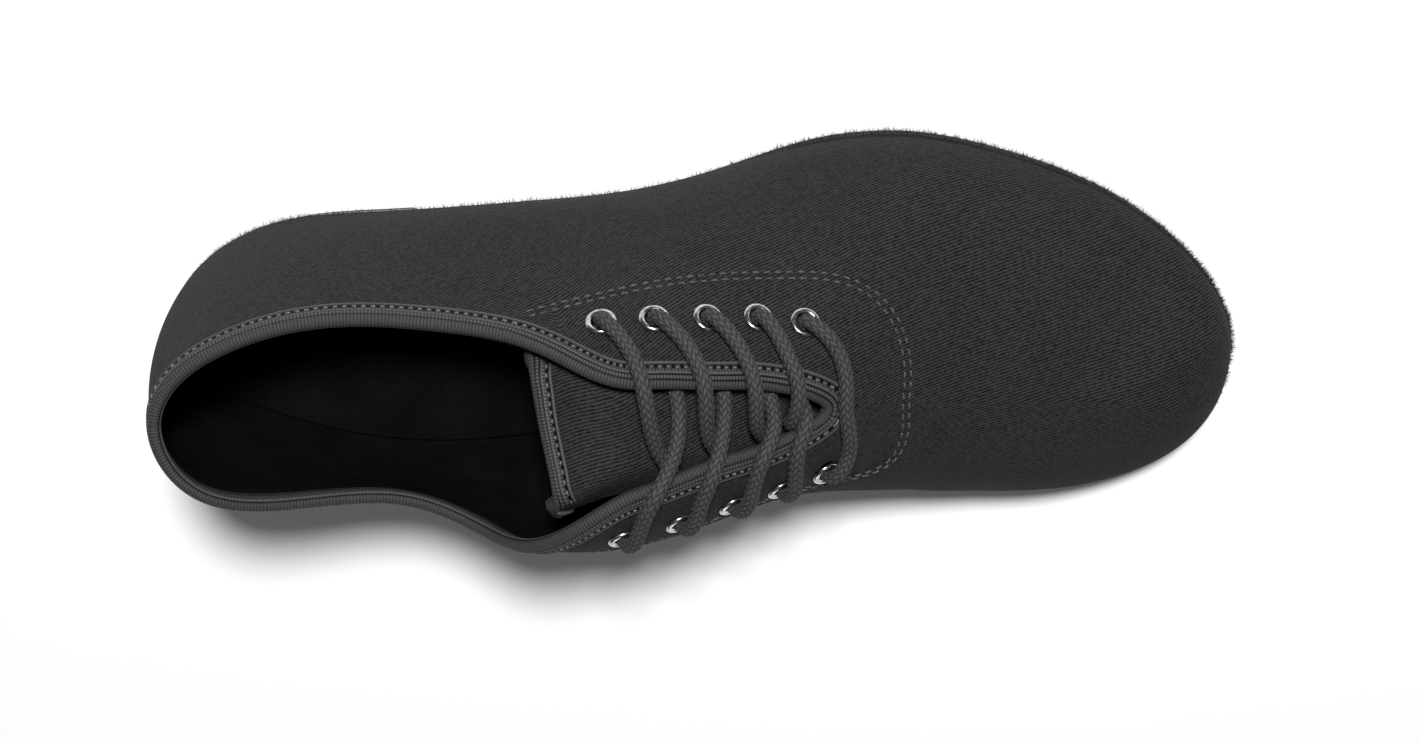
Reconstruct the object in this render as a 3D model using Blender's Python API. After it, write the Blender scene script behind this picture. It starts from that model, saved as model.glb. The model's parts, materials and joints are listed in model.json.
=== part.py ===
"""A left latin dance shoe: twill upper on a flexible suede sole with a low heel, laced over a tongue.

Sizes are in millimetres from the back of the heel, which is x = 0, to the tip of the toe. +y is the
outer (lateral) side and z = 0 is the floor. The last step moves the shoe to its own middle.
"""

import bmesh
import bpy
import numpy as np
from mathutils import Matrix

for old in list(bpy.data.objects):
    bpy.data.objects.remove(old)

MM = 0.001
GAP = 0.3
NODES = []

# Last: a closed outline at the feather line, a ridge along the top, and rounded walls between them

LENGTH = 270.0
SOLE_THICK = 3.5
HEEL_LIFT = 20.0
TOE_SPRING = 6.0
SEAT_END = 0.25
TREAD_START = 0.62
TREAD_END = 0.80
RIDGE_BACK = 40.0
RIDGE_FRONT = 234.0

# share of the length; outline to each side; top ridge; roundness of each wall (2 is an ellipse);
# how far each wall bulges low down and flares high up
LAST_COLUMNS = ("share", "lateral", "medial", "ridge_y", "ridge_z", "round_lateral", "round_medial",
                "bulge_lateral", "bulge_medial", "flare_lateral", "flare_medial")
LAST_ROWS = np.array([
    (0.00, 0.0, 0.0, 0.0, 122.0, 2.50, 2.50, 1.5, 1.5, 0.0, 0.0),
    (0.03, 17.5, -17.0, 0.0, 122.5, 2.40, 2.60, 1.0, 1.5, -1.0, 0.5),
    (0.10, 28.5, -25.0, 0.0, 121.0, 2.40, 2.50, 1.0, 1.5, -2.5, 0.0),
    (0.20, 32.0, -30.5, -0.5, 117.5, 2.25, 2.40, 2.0, 1.5, -4.0, -6.5),
    (0.32, 35.0, -29.5, -1.0, 107.0, 2.05, 2.25, 3.0, 3.0, -6.0, 7.0),
    (0.45, 37.5, -28.5, -0.5, 91.5, 1.80, 2.35, 3.0, 4.0, 3.0, 12.0),
    (0.57, 45.5, -34.5, 1.0, 77.0, 1.75, 2.50, 2.0, 3.0, -1.0, 1.0),
    (0.67, 49.5, -40.5, 0.5, 63.0, 2.05, 2.30, 1.0, 1.5, 0.0, 0.0),
    (0.77, 45.5, -44.0, -3.0, 52.0, 2.05, 2.15, 0.0, 0.5, 0.0, 0.0),
    (0.87, 36.0, -42.5, -6.5, 44.0, 2.10, 2.25, 0.0, 0.0, 0.0, 0.0),
    (0.95, 21.5, -33.5, -8.5, 38.0, 2.20, 2.25, 0.0, 0.0, 0.0, 0.0),
    (1.00, -4.5, -4.5, -9.0, 35.5, 2.20, 2.20, 0.0, 0.0, 0.0, 0.0),
])
LAST = dict(zip(LAST_COLUMNS, LAST_ROWS.T))

# Collar and throat edge: how far up each wall it runs, in degrees from feather line (0) to ridge (90)
VAMP_SHARE = 0.64
EDGE_ROWS = np.array([
    # share, lateral, medial
    (0.00, 34.5, 34.5),
    (0.06, 34.0, 34.5),
    (0.14, 32.5, 29.0),
    (0.24, 34.5, 28.0),
    (0.33, 45.0, 45.5),
    (0.39, 61.5, 73.0),
    (0.44, 67.0, 79.0),
    (0.49, 70.5, 83.0),
    (0.54, 73.5, 84.5),
    (VAMP_SHARE, 90.0, 90.0),
])


def turn_of(share):
    """Turn along the outline, 0 at the heel and pi at the toe, at a share of the length."""
    return np.arccos(1 - 2 * np.asarray(share, float))


def share_of(turn):
    return (1 - np.cos(turn)) / 2


def spline(knots, values, at):
    """Natural cubic spline through the knots."""
    step = np.diff(knots)
    count = len(knots)
    matrix = np.eye(count)
    right = np.zeros(count)
    for i in range(1, count - 1):
        matrix[i, i - 1:i + 2] = step[i - 1], 2 * (step[i - 1] + step[i]), step[i]
        right[i] = 6 * ((values[i + 1] - values[i]) / step[i] - (values[i] - values[i - 1]) / step[i - 1])
    bend = np.linalg.solve(matrix, right)
    i = np.clip(np.searchsorted(knots, at) - 1, 0, count - 2)
    after = at - knots[i]
    before = knots[i + 1] - at
    cubic = (bend[i] * before**3 + bend[i + 1] * after**3) / (6 * step[i])
    return (cubic + (values[i] / step[i] - bend[i] * step[i] / 6) * before
            + (values[i + 1] / step[i] - bend[i + 1] * step[i] / 6) * after)


def last_column(name, turn):
    return spline(turn_of(LAST["share"]), LAST[name], turn)


def seat_height(x):
    """Height of the sole's top face: level seat, arch, level tread, then toe spring."""
    share = np.asarray(x, float) / LENGTH
    arch = np.clip((share - SEAT_END) / (TREAD_START - SEAT_END), 0, 1)
    spring = np.clip((share - TREAD_END) / (1 - TREAD_END), 0, 1)
    return SOLE_THICK + HEEL_LIFT * (1 + np.cos(np.pi * arch)) / 2 + TOE_SPRING * spring**2


def last_point(turn, climb):
    """Point on the last. Turn is positive on the lateral side and negative on the medial side; climb runs
    from 0 at the feather line to pi/2 at the ridge, and on past it down the other side."""
    turn, climb = np.broadcast_arrays(np.asarray(turn, float), np.asarray(climb, float))
    past_ridge = climb > np.pi / 2
    past_toe = np.abs(turn) > np.pi
    lateral = (turn >= 0) ^ past_ridge ^ past_toe
    climb = np.where(past_ridge, np.pi - climb, climb)
    turn = np.where(past_toe, 2 * np.pi - np.abs(turn), np.abs(turn))

    def of_side(name):
        return np.where(lateral, last_column(name + "_lateral", turn), last_column(name + "_medial", turn))

    share = share_of(turn)
    foot_x = LENGTH * share
    foot_y = np.where(lateral, last_column("lateral", turn), last_column("medial", turn))
    foot_z = seat_height(foot_x)
    ridge_x = RIDGE_BACK + (RIDGE_FRONT - RIDGE_BACK) * share
    ridge_y = last_column("ridge_y", turn)
    ridge_z = last_column("ridge_z", turn)
    ahead = np.clip(share + 0.004, 0, 1)
    behind = np.clip(share - 0.004, 0, 1)
    rise = last_column("ridge_z", turn_of(ahead)) - last_column("ridge_z", turn_of(behind))
    slope = rise / ((RIDGE_FRONT - RIDGE_BACK) * (ahead - behind)) * np.clip((share - 0.3) / 0.2, 0, 1)
    power = 2 / of_side("round")
    inward = np.cos(climb)**power
    upward = np.sin(climb)**power
    reach_x = foot_x - ridge_x
    reach_y = foot_y - ridge_y
    bulge = upward * (1 - upward)**3 / 0.105 * of_side("bulge")
    flare = upward**2 * (1 - upward) / 0.148 * of_side("flare")
    spread = inward + (bulge + flare) / np.hypot(reach_x, reach_y)
    x = ridge_x + reach_x * spread
    y = ridge_y + reach_y * spread
    z = foot_z + (ridge_z - foot_z) * upward + slope * (x - ridge_x) * upward
    return np.stack([x, y, z], axis=-1)


def unit(vectors):
    return vectors / np.linalg.norm(vectors, axis=-1, keepdims=True)


def last_slopes(turn, climb):
    small = 0.02
    climb = np.clip(climb, 1.5 * small, np.pi - 1.5 * small)
    at_toe = np.abs(turn) > np.pi - small
    climb = np.where(at_toe, np.minimum(climb, np.pi / 2 - 2 * small), climb)
    along = (last_point(turn + small, climb) - last_point(turn - small, climb)) / (2 * small)
    upward = (last_point(turn, climb + small) - last_point(turn, climb - small)) / (2 * small)
    return along, upward


def outward(turn, climb):
    along, upward = last_slopes(turn, climb)
    return unit(np.cross(upward, along))


def off_last(turn, climb, lift):
    """Point a given height above the last's surface."""
    lift = np.asarray(lift, float)
    return last_point(turn, climb) + outward(turn, climb) * lift[..., None]


def walk(turn, climb, direction, distance, steps=4):
    """Turn and climb after walking over the surface in a direction."""
    for _ in range(steps):
        along, upward = last_slopes(turn, climb)
        base = np.stack([along, upward], axis=-1)
        move = direction * (distance / steps)
        change = np.einsum("...ij,...j->...i", np.linalg.pinv(base), move)
        turn = turn + change[..., 0]
        climb = climb + change[..., 1]
    return turn, climb


def edge_climb(turn):
    """Climb of the collar and throat edge; ahead of the vamp point it is the ridge itself."""
    share = np.minimum(share_of(np.abs(turn)), VAMP_SHARE)
    lateral = spline(EDGE_ROWS[:, 0], EDGE_ROWS[:, 1], share)
    medial = spline(EDGE_ROWS[:, 0], EDGE_ROWS[:, 2], share)
    return np.radians(np.where(turn >= 0, lateral, medial))


def outline(turn, margin):
    """Feather outline in plan, moved outward by a margin."""
    before = last_point(turn - 0.02, 0.0)[..., :2]
    after = last_point(turn + 0.02, 0.0)[..., :2]
    tangent = unit(after - before)
    normal = np.stack([-tangent[..., 1], tangent[..., 0]], axis=-1)
    return last_point(turn, 0.0)[..., :2] + normal * np.asarray(margin)[..., None]


# Solids from rings and sheets of points

def add_solid(name, points, faces, colour, roughness, metallic=0.0, helper=False):
    """One closed mesh object with its own material; a helper is only a cutter or a joined-on piece."""
    mesh = bpy.data.meshes.new(name)
    mesh.from_pydata((np.asarray(points) * MM).tolist(), [], faces)
    solid = bmesh.new()
    solid.from_mesh(mesh)
    bmesh.ops.remove_doubles(solid, verts=solid.verts, dist=1e-6)
    bmesh.ops.recalc_face_normals(solid, faces=solid.faces)
    solid.to_mesh(mesh)
    solid.free()
    obj = bpy.data.objects.new(name, mesh)
    bpy.context.scene.collection.objects.link(obj)
    if helper:
        obj.hide_render = True
        obj.display_type = "WIRE"
        return obj
    material = bpy.data.materials.new(name)
    material.use_nodes = True
    shader = material.node_tree.nodes["Principled BSDF"]
    shader.inputs["Base Color"].default_value = (*colour, 1.0)
    shader.inputs["Roughness"].default_value = roughness
    shader.inputs["Metallic"].default_value = metallic
    mesh.materials.append(material)
    NODES.append(obj)
    return obj


def boolean(obj, other, operation):
    change = obj.modifiers.new(other.name, "BOOLEAN")
    change.operation = operation
    change.solver = "EXACT"
    change.object = other


def tube(rings, closed=False):
    """Points and faces of a skin over a row of rings, capped at both ends or closed into a loop."""
    count, size = rings.shape[:2]
    faces = []
    for i in range(count if closed else count - 1):
        after = (i + 1) % count
        for j in range(size):
            beside = (j + 1) % size
            faces.append((i * size + j, i * size + beside, after * size + beside, after * size + j))
    if not closed:
        faces.append(tuple(range(size)))
        faces.append(tuple(range((count - 1) * size, count * size)))
    return rings.reshape(-1, 3), faces


def sheet(top, bottom):
    """Points and faces of a sheet between two grids of the same size, walled round its border."""
    rows, columns = top.shape[:2]
    under = rows * columns
    at = np.arange(under).reshape(rows, columns)
    faces = []
    for i in range(rows - 1):
        for j in range(columns - 1):
            quad = (at[i, j], at[i, j + 1], at[i + 1, j + 1], at[i + 1, j])
            faces.append(tuple(int(k) for k in quad))
            faces.append(tuple(int(k) + under for k in quad))
    border = np.concatenate([at[0, :-1], at[:-1, -1], at[-1, :0:-1], at[:0:-1, 0]])
    for here, there in zip(border, np.roll(border, -1)):
        faces.append((int(here), int(there), int(there) + under, int(here) + under))
    return np.concatenate([top.reshape(-1, 3), bottom.reshape(-1, 3)]), faces


def ease(value, start, end):
    share = np.clip((np.asarray(value, float) - start) / (end - start), 0, 1)
    return share * share * (3 - 2 * share)


# Outsole: a flexible suede-faced sheet, a little proud of the forefoot and tucked under the waist

SOLE_PROUD = 0.4
SOLE_TUCK = 1.0
SOLE_STEPS = 32
SOLE_ACROSS = 4
INSOLE_THICK = 2.5
WALL = 1.6


def sole_grid(margin, height):
    """Grid from toe to heel and from side to side, level across at a height above the seat."""
    turn = np.linspace(0, np.pi, SOLE_STEPS + 1)
    across = np.linspace(0, 1, SOLE_ACROSS + 1)[None, :, None]
    lateral = outline(turn, margin(turn))[:, None, :]
    medial = outline(-turn, margin(turn))[:, None, :]
    plan = lateral + (medial - lateral) * across
    return np.concatenate([plan, (seat_height(plan[..., :1]) + height)], axis=-1)


def sole_margin(turn):
    return SOLE_PROUD - (SOLE_PROUD + SOLE_TUCK) * (1 - ease(share_of(turn), 0.48, 0.62))


def insole_margin(turn):
    return np.full_like(turn, -WALL - 2 * GAP)


add_solid("outsole", *sheet(sole_grid(sole_margin, 0.0), sole_grid(sole_margin, -SOLE_THICK)),
          colour=(0.05, 0.045, 0.042), roughness=0.95)
add_solid("insole", *sheet(sole_grid(insole_margin, GAP + INSOLE_THICK), sole_grid(insole_margin, GAP)),
          colour=(0.02, 0.02, 0.021), roughness=0.85)

# Heel: a low block that narrows towards the floor, with a near-upright front face

HEEL_BREAST_TOP = 63.0
HEEL_BREAST_FOOT = 60.0
HEEL_INSET_TOP = 0.8
HEEL_INSET_FOOT = 6.5
HEEL_CHAMFER = 0.6
HEEL_SIDE_STEPS = 24


def heel_ring(share, extra):
    """Outline of the heel at a share of its height, 0 at the floor."""
    breast = HEEL_BREAST_FOOT + (HEEL_BREAST_TOP - HEEL_BREAST_FOOT) * share
    inset = HEEL_INSET_FOOT + (HEEL_INSET_TOP - HEEL_INSET_FOOT) * share + extra
    corner = turn_of((breast - extra) / LENGTH)
    turn = np.linspace(-corner, corner, HEEL_SIDE_STEPS + 1)
    side = outline(turn, np.full_like(turn, -inset - SOLE_TUCK))
    across = np.linspace(0, 1, 5)[1:-1, None]
    front = side[-1] + (side[0] - side[-1]) * across
    plan = np.concatenate([side, front])
    top = seat_height(plan[:, :1]) - SOLE_THICK - GAP
    return np.concatenate([plan, top * share], axis=-1)


heel_rings = np.stack([heel_ring(0.0, HEEL_CHAMFER), heel_ring(HEEL_CHAMFER / HEEL_LIFT, 0.0),
                       heel_ring(0.5, 0.0), heel_ring(1.0, 0.0)])
add_solid("heel", *tube(heel_rings), colour=(0.015, 0.015, 0.015), roughness=0.5)

# Upper: one hollow twill wall, open underneath, at the collar and down the throat

VAMP_TURN = float(turn_of(VAMP_SHARE))
THROAT_STEPS = 36
TOE_STEPS = 13
UPPER_ROWS = np.array([0, 0.06, 0.16, 0.29, 0.43, 0.57, 0.70, 0.82, 0.92, 1.0])
EDGE_WALL = 1.0
SKIVED_ROWS = 3


def path_lengths(path):
    """Distance along a path of points at each of them."""
    return np.concatenate([[0], np.cumsum(np.linalg.norm(np.diff(path, axis=0), axis=1))])


def edge_turns(sign):
    """Turns that space points evenly along one side's collar and throat edge, heel to vamp point."""
    fine = sign * np.linspace(0, VAMP_TURN, 600)
    walked = path_lengths(last_point(fine, edge_climb(fine)))
    return np.interp(np.linspace(0, walked[-1], THROAT_STEPS + 1), walked, fine)


toe_turns = np.linspace(VAMP_TURN, np.pi, TOE_STEPS + 1)[1:]
lateral_turns = edge_turns(1)
medial_turns = edge_turns(-1)
ring_turns = np.concatenate([lateral_turns, toe_turns, -toe_turns[-2::-1], medial_turns[:0:-1]])
ring_climbs = UPPER_ROWS[:, None] * edge_climb(ring_turns)[None, :]
outer = last_point(ring_turns[None, :], ring_climbs)
wall = np.full((UPPER_ROWS.size, ring_turns.size, 1), WALL)
wall[-SKIVED_ROWS:, np.abs(ring_turns) < VAMP_TURN + 0.01] = EDGE_WALL
inner = outer - outward(ring_turns[None, :], ring_climbs) * wall
inner[0, :, :2] = outline(ring_turns, np.full_like(ring_turns, -WALL))
outer[0, :, 2] += GAP
inner[0, :, 2] = outer[0, :, 2]

row_count, ring_size = outer.shape[:2]
upper_points = np.concatenate([outer.reshape(-1, 3), inner.reshape(-1, 3)])
upper_faces = []
for j in range(ring_size):
    beside = (j + 1) % ring_size
    for i in range(row_count - 1):
        wall_quad = (i * ring_size + j, i * ring_size + beside,
                     (i + 1) * ring_size + beside, (i + 1) * ring_size + j)
        upper_faces.append(wall_quad)
        upper_faces.append(tuple(k + row_count * ring_size for k in wall_quad))
    rims = [0]
    if min(abs(ring_turns[j]), abs(ring_turns[beside])) < VAMP_TURN - 1e-6:
        rims.append(row_count - 1)
    for i in rims:
        lower = row_count * ring_size
        upper_faces.append((i * ring_size + j, i * ring_size + beside,
                            lower + i * ring_size + beside, lower + i * ring_size + j))
upper = add_solid("upper", upper_points, upper_faces, colour=(0.016, 0.016, 0.018), roughness=0.8)

# Eyelets: five metal rings a side, set through the upper behind the throat edge

EYELET_HOLE = 2.15
EYELET_BARREL = 2.6
EYELET_RIM = 3.65
EYELET_SEGMENTS = 10
EYELET_COUNT = 5
EYELET_ROWS = {
    # side: sign of turn, share of the first, step to the next, distance back from the edge
    "lateral": (1, 0.390, 0.050, 17.6),
    "medial": (-1, 0.424, 0.049, 19.6),
}


def eyelet_place(side, number):
    """Turn and climb of an eyelet, counted from 1 at the top of the throat."""
    sign, first, step, set_back = EYELET_ROWS[side]
    turn = np.array(sign * turn_of(first + step * (number - 1)))
    down = np.linspace(edge_climb(turn), 0.2, 400)
    path = last_point(np.full_like(down, turn), down)
    walked = path_lengths(path)
    return turn, np.interp(set_back, walked, down)


def round_axis(turn, climb, profile, segments):
    """Rings of a profile (radius, height above the last) turned about the surface normal."""
    axis = outward(turn, climb)
    right = unit(np.cross(axis, (0.0, 0.0, 1.0)))
    ahead = np.cross(axis, right)
    angle = np.linspace(0, 2 * np.pi, segments, endpoint=False)[:, None, None]
    radius = profile[None, :, :1]
    around = right * np.cos(angle) * radius + ahead * np.sin(angle) * radius
    return last_point(turn, climb) + around + axis * profile[None, :, 1:]


EYELET_PROFILE = np.array([
    # radius, height above the upper
    (EYELET_HOLE, 1.1),
    (3.0, 1.3),
    (EYELET_RIM, 0.75),
    (EYELET_RIM, 0.35),
    (EYELET_BARREL, 0.35),
    (EYELET_BARREL, -WALL - 0.8),
    (3.3, -WALL - 0.8),
    (3.2, -WALL - 1.2),
    (EYELET_HOLE, -WALL - 1.2),
])
HOLE_PROFILE = np.array([(EYELET_BARREL + GAP, 4.0), (EYELET_BARREL + GAP, -6.0)])

for side in EYELET_ROWS:
    for number in range(1, EYELET_COUNT + 1):
        place = eyelet_place(side, number)
        add_solid(f"eyelet_{side}_{number}", *tube(round_axis(*place, EYELET_PROFILE, EYELET_SEGMENTS), True),
                  colour=(0.10, 0.10, 0.105), roughness=0.28, metallic=1.0)
        hole = round_axis(*place, HOLE_PROFILE, EYELET_SEGMENTS).swapaxes(0, 1)
        boolean(upper, add_solid(f"hole_{side}_{number}", *tube(hole), None, None, helper=True), "DIFFERENCE")

# Collar binding: ribbed tape folded over the whole collar and throat edge, one closed loop

TAPE = 0.6
TAPE_GAP = 0.6
FLANGE = 5.8
OUT = TAPE_GAP + TAPE
BINDING_SECTION = np.array([
    # height above the upper's outer face, distance down from its edge
    (OUT, FLANGE),
    (OUT, 0.0),
    (0.3, -0.8),
    (-EDGE_WALL / 2, -OUT),
    (-EDGE_WALL - 0.3, -0.8),
    (-EDGE_WALL - OUT, 0.0),
    (-EDGE_WALL - OUT, FLANGE),
    (-EDGE_WALL - TAPE_GAP, FLANGE),
    (-EDGE_WALL - TAPE_GAP, -GAP),
    (TAPE_GAP, -GAP),
    (TAPE_GAP, FLANGE),
])

loop_turns = np.concatenate([lateral_turns, medial_turns[-2:0:-1]])
loop_climbs = edge_climb(loop_turns)
loop_edge = last_point(loop_turns, loop_climbs)
loop_normal = outward(loop_turns, loop_climbs)
loop_tangent = unit(np.roll(loop_edge, -1, axis=0) - np.roll(loop_edge, 1, axis=0))
loop_down = unit(np.cross(loop_normal, loop_tangent))
binding_rings = []
for height, distance in BINDING_SECTION:
    if distance > 0:
        below = walk(loop_turns, loop_climbs, loop_down, distance)
        binding_rings.append(off_last(*below, height))
    else:
        binding_rings.append(loop_edge + loop_normal * height + loop_down * distance)
add_solid("collar_binding", *tube(np.stack(binding_rings, axis=1), True),
          colour=(0.012, 0.012, 0.013), roughness=0.7)

# Tongue: a twill flap that lies under the facings and laces, its front end under the vamp

TONGUE_THICK = 2.0
TONGUE_DEPTH = 8.0
TONGUE_FRONT_DEPTH = WALL + 4 * GAP
TONGUE_FRONT = 0.73
TONGUE_TOP = {"lateral": 0.318, "medial": 0.36}
TONGUE_RAIL = 78.0
TONGUE_LAP = {"front": 16.0, "top": 12.0}
TONGUE_FLANGE = 0.038
TONGUE_STEPS = 16
TONGUE_ACROSS = 10


def smooth_path(points, count):
    """Evenly spaced points on a smooth curve through a few points."""
    walked = path_lengths(points)
    at = np.linspace(0, walked[-1], count)
    return np.stack([spline(walked, points[:, axis], at) for axis in range(3)], axis=-1)


def tongue_side(side, along):
    """Hidden border and visible rail of the tongue on one side, along from 0 in front to 1 at the top."""
    share = TONGUE_FRONT + (TONGUE_TOP[side] - TONGUE_FRONT) * along
    turn = EYELET_ROWS[side][0] * turn_of(share)
    rail = np.minimum(edge_climb(turn), np.radians(TONGUE_RAIL))
    depth = TONGUE_DEPTH + (TONGUE_FRONT_DEPTH - TONGUE_DEPTH) * ease(share, VAMP_SHARE, TONGUE_FRONT)
    lap = TONGUE_LAP["front"] + (TONGUE_LAP["top"] - TONGUE_LAP["front"]) * along**2
    return off_last(turn, rail - np.radians(lap), -depth), off_last(turn, rail, -depth)


def tongue_row(along):
    lateral_border, lateral_rail = tongue_side("lateral", along)
    medial_border, medial_rail = tongue_side("medial", along)
    middle = (lateral_rail + medial_rail) / 2
    row = np.stack([lateral_border, lateral_rail, middle, medial_rail, medial_border])
    return smooth_path(row, TONGUE_ACROSS + 1)


def tongue_grid(along, height):
    """Grid of the tongue's rows, a height above its top face."""
    grid = np.stack([tongue_row(value) for value in along])
    ahead = np.stack([tongue_row(value - 0.01) for value in along])
    normal = unit(np.cross(ahead - grid, np.gradient(grid, axis=1)))
    normal = normal * np.sign(normal[..., 2:])
    return grid + normal * height


tongue_along = np.append(np.linspace(0, 1 - TONGUE_FLANGE, TONGUE_STEPS), 1.0)
add_solid("tongue", *sheet(tongue_grid(tongue_along, 0.0), tongue_grid(tongue_along, -TONGUE_THICK)),
          colour=(0.016, 0.016, 0.018), roughness=0.8)

# Tongue binding: the same tape folded over the top edge of the tongue

TONGUE_TAPE_OUTSIDE = (
    # height above the tongue's top face, share of the tongue's length down from its edge
    (OUT, TONGUE_FLANGE),
    (OUT, 0.0),
    (-TONGUE_THICK / 2, -0.010),
    (-TONGUE_THICK - OUT, 0.0),
    (-TONGUE_THICK - OUT, TONGUE_FLANGE),
)
TONGUE_TAPE_INSIDE = (
    (TAPE_GAP, TONGUE_FLANGE),
    (TAPE_GAP, -0.003),
    (-TONGUE_THICK / 2, -0.003),
    (-TONGUE_THICK - TAPE_GAP, -0.003),
    (-TONGUE_THICK - TAPE_GAP, TONGUE_FLANGE),
)


def tongue_tape_grid(section):
    return np.stack([tongue_grid([1.0 - down], height)[0] for height, down in section])


add_solid("tongue_binding", *sheet(tongue_tape_grid(TONGUE_TAPE_OUTSIDE), tongue_tape_grid(TONGUE_TAPE_INSIDE)),
          colour=(0.012, 0.012, 0.013), roughness=0.7)

# Lace: each crossing is two round cords joined where they meet, and a bar closes the vamp end.
# A cord starts at an eyelet, runs over the edge beside it and dips under the edge opposite.

LACE_RADIUS = 1.85
LACE_SIDES = 8
LACE_STEPS = 12
LACE_START = EYELET_RIM + 0.8
LACE_FLAT = GAP + LACE_RADIUS + 0.2
LACE_OVER = OUT + 2 * GAP + LACE_RADIUS
LACE_UNDER = -EDGE_WALL - OUT - 2 * GAP - LACE_RADIUS
CROSSING_SHARE = 0.052
CROSSING_ACROSS = 0.6
CROSSING_ROWS = (
    # height where the cords meet, how far an end runs on under the far edge, reach along the throat
    (-0.8, 2.5, 1.0),
    (-0.8, 2.5, 1.0),
    (-0.5, 2.5, 1.0),
    (1.0, -6.0, 0.7),
)
LACE_RUNS = {
    # side: share from eyelet to its own edge, share to the far edge, height above the meeting point
    "lateral": (0.033, 0.060, -1.0),
    "medial": (0.014, 0.040, 1.0),
}
BAR_BOW = 0.044


def cord_rings(path):
    """Rings of a round cord along a path of points."""
    tangent = unit(np.gradient(path, axis=0))
    right = unit(np.cross(tangent, (0.0, 0.0, 1.0)))
    ahead = np.cross(tangent, right)
    angle = np.linspace(0, 2 * np.pi, LACE_SIDES, endpoint=False)[None, :, None]
    return path[:, None] + LACE_RADIUS * (right[:, None] * np.cos(angle) + ahead[:, None] * np.sin(angle))


def trim(path, start, end):
    """Evenly spaced points of a path with a length left off at each end."""
    walked = path_lengths(path)
    at = np.linspace(start, walked[-1] - end, LACE_STEPS)
    return np.stack([np.interp(at, walked, path[:, axis]) for axis in range(3)], axis=-1)


def crossing_cord(side, number):
    """Path of one cord of a crossing, from its eyelet to just under the far facing."""
    other = "medial" if side == "lateral" else "lateral"
    sign = EYELET_ROWS[side][0]
    to_near, to_far, above_meet = LACE_RUNS[side]
    meet_height, tuck, reach = CROSSING_ROWS[number - 1]
    eyelet_turn, eyelet_climb = eyelet_place(side, number)
    eyelet_share = share_of(eyelet_turn)
    near_turn = sign * turn_of(eyelet_share + to_near * reach)
    near_climb = edge_climb(near_turn)
    far_turn = -sign * turn_of(eyelet_share + to_far * reach)
    far_climb = edge_climb(far_turn)
    meet_share = share_of(eyelet_place("lateral", number)[0]) + CROSSING_SHARE * reach
    meet_turns = np.array([1.0, -1.0]) * turn_of(meet_share)
    meet_edges = off_last(meet_turns, edge_climb(meet_turns), 0.0)
    meet_up = unit(outward(meet_turns, edge_climb(meet_turns)).sum(axis=0))
    meet = meet_edges[0] + (meet_edges[1] - meet_edges[0]) * CROSSING_ACROSS
    meet = meet + meet_up * (meet_height + above_meet)
    tuck_turn, tuck_climb = eyelet_place(other, number + 1)
    path = np.stack([
        off_last(eyelet_turn, eyelet_climb, LACE_FLAT),
        off_last((eyelet_turn + near_turn) / 2, (eyelet_climb + near_climb) / 2, LACE_OVER),
        off_last(near_turn, near_climb, LACE_OVER),
        meet,
        off_last(far_turn, far_climb, LACE_UNDER),
        off_last((far_turn + tuck_turn) / 2, (far_climb + tuck_climb) / 2, LACE_UNDER),
    ])
    end = np.linalg.norm(path[-1] - path[-2]) - tuck
    return trim(smooth_path(path, 120), LACE_START, end)


for number in range(1, EYELET_COUNT):
    crossing = add_solid(f"lace_cross_{number}", *tube(cord_rings(crossing_cord("lateral", number))),
                         colour=(0.014, 0.014, 0.015), roughness=0.75)
    joined = add_solid(f"lace_over_{number}", *tube(cord_rings(crossing_cord("medial", number))),
                       None, None, helper=True)
    boolean(crossing, joined, "UNION")

bar_start = eyelet_place("lateral", EYELET_COUNT)
bar_end = eyelet_place("medial", EYELET_COUNT)
bar_part = np.linspace(0, 1, 121)
bar_share = share_of(bar_start[0]) + (share_of(bar_end[0]) - share_of(bar_start[0])) * bar_part
bar_turn = turn_of(bar_share + BAR_BOW * np.sin(np.pi * bar_part))
bar_climb = bar_start[1] + (np.pi - bar_end[1] - bar_start[1]) * bar_part
bar_lift = LACE_FLAT + (LACE_OVER - LACE_FLAT) * ease(np.sin(np.pi * bar_part), 0.3, 0.8)
bar_path = trim(off_last(bar_turn, bar_climb, bar_lift), LACE_START, LACE_START)
add_solid("lace_bar", *tube(cord_rings(bar_path)), colour=(0.014, 0.014, 0.015), roughness=0.75)

# Middle of the shoe to x = y = 0, with the floor left at z = 0

corners = np.array([corner for obj in NODES for corner in obj.bound_box])
middle = (corners.min(axis=0) + corners.max(axis=0)) / 2
for obj in bpy.data.objects:
    obj.data.transform(Matrix.Translation((-middle[0], -middle[1], 0.0)))
    obj.data.update()
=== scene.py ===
"""Looks of a left latin dance shoe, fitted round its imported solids.

Pieces are worked out in millimetres on the shoemaker's last: x runs from the back of the heel to the toe,
y to the outer (lateral) side and z up from the floor. add_piece() carries them into the frame, in metres.
"""

import json

import bmesh
import bpy
import numpy as np
from mathutils import Matrix, Vector

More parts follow.
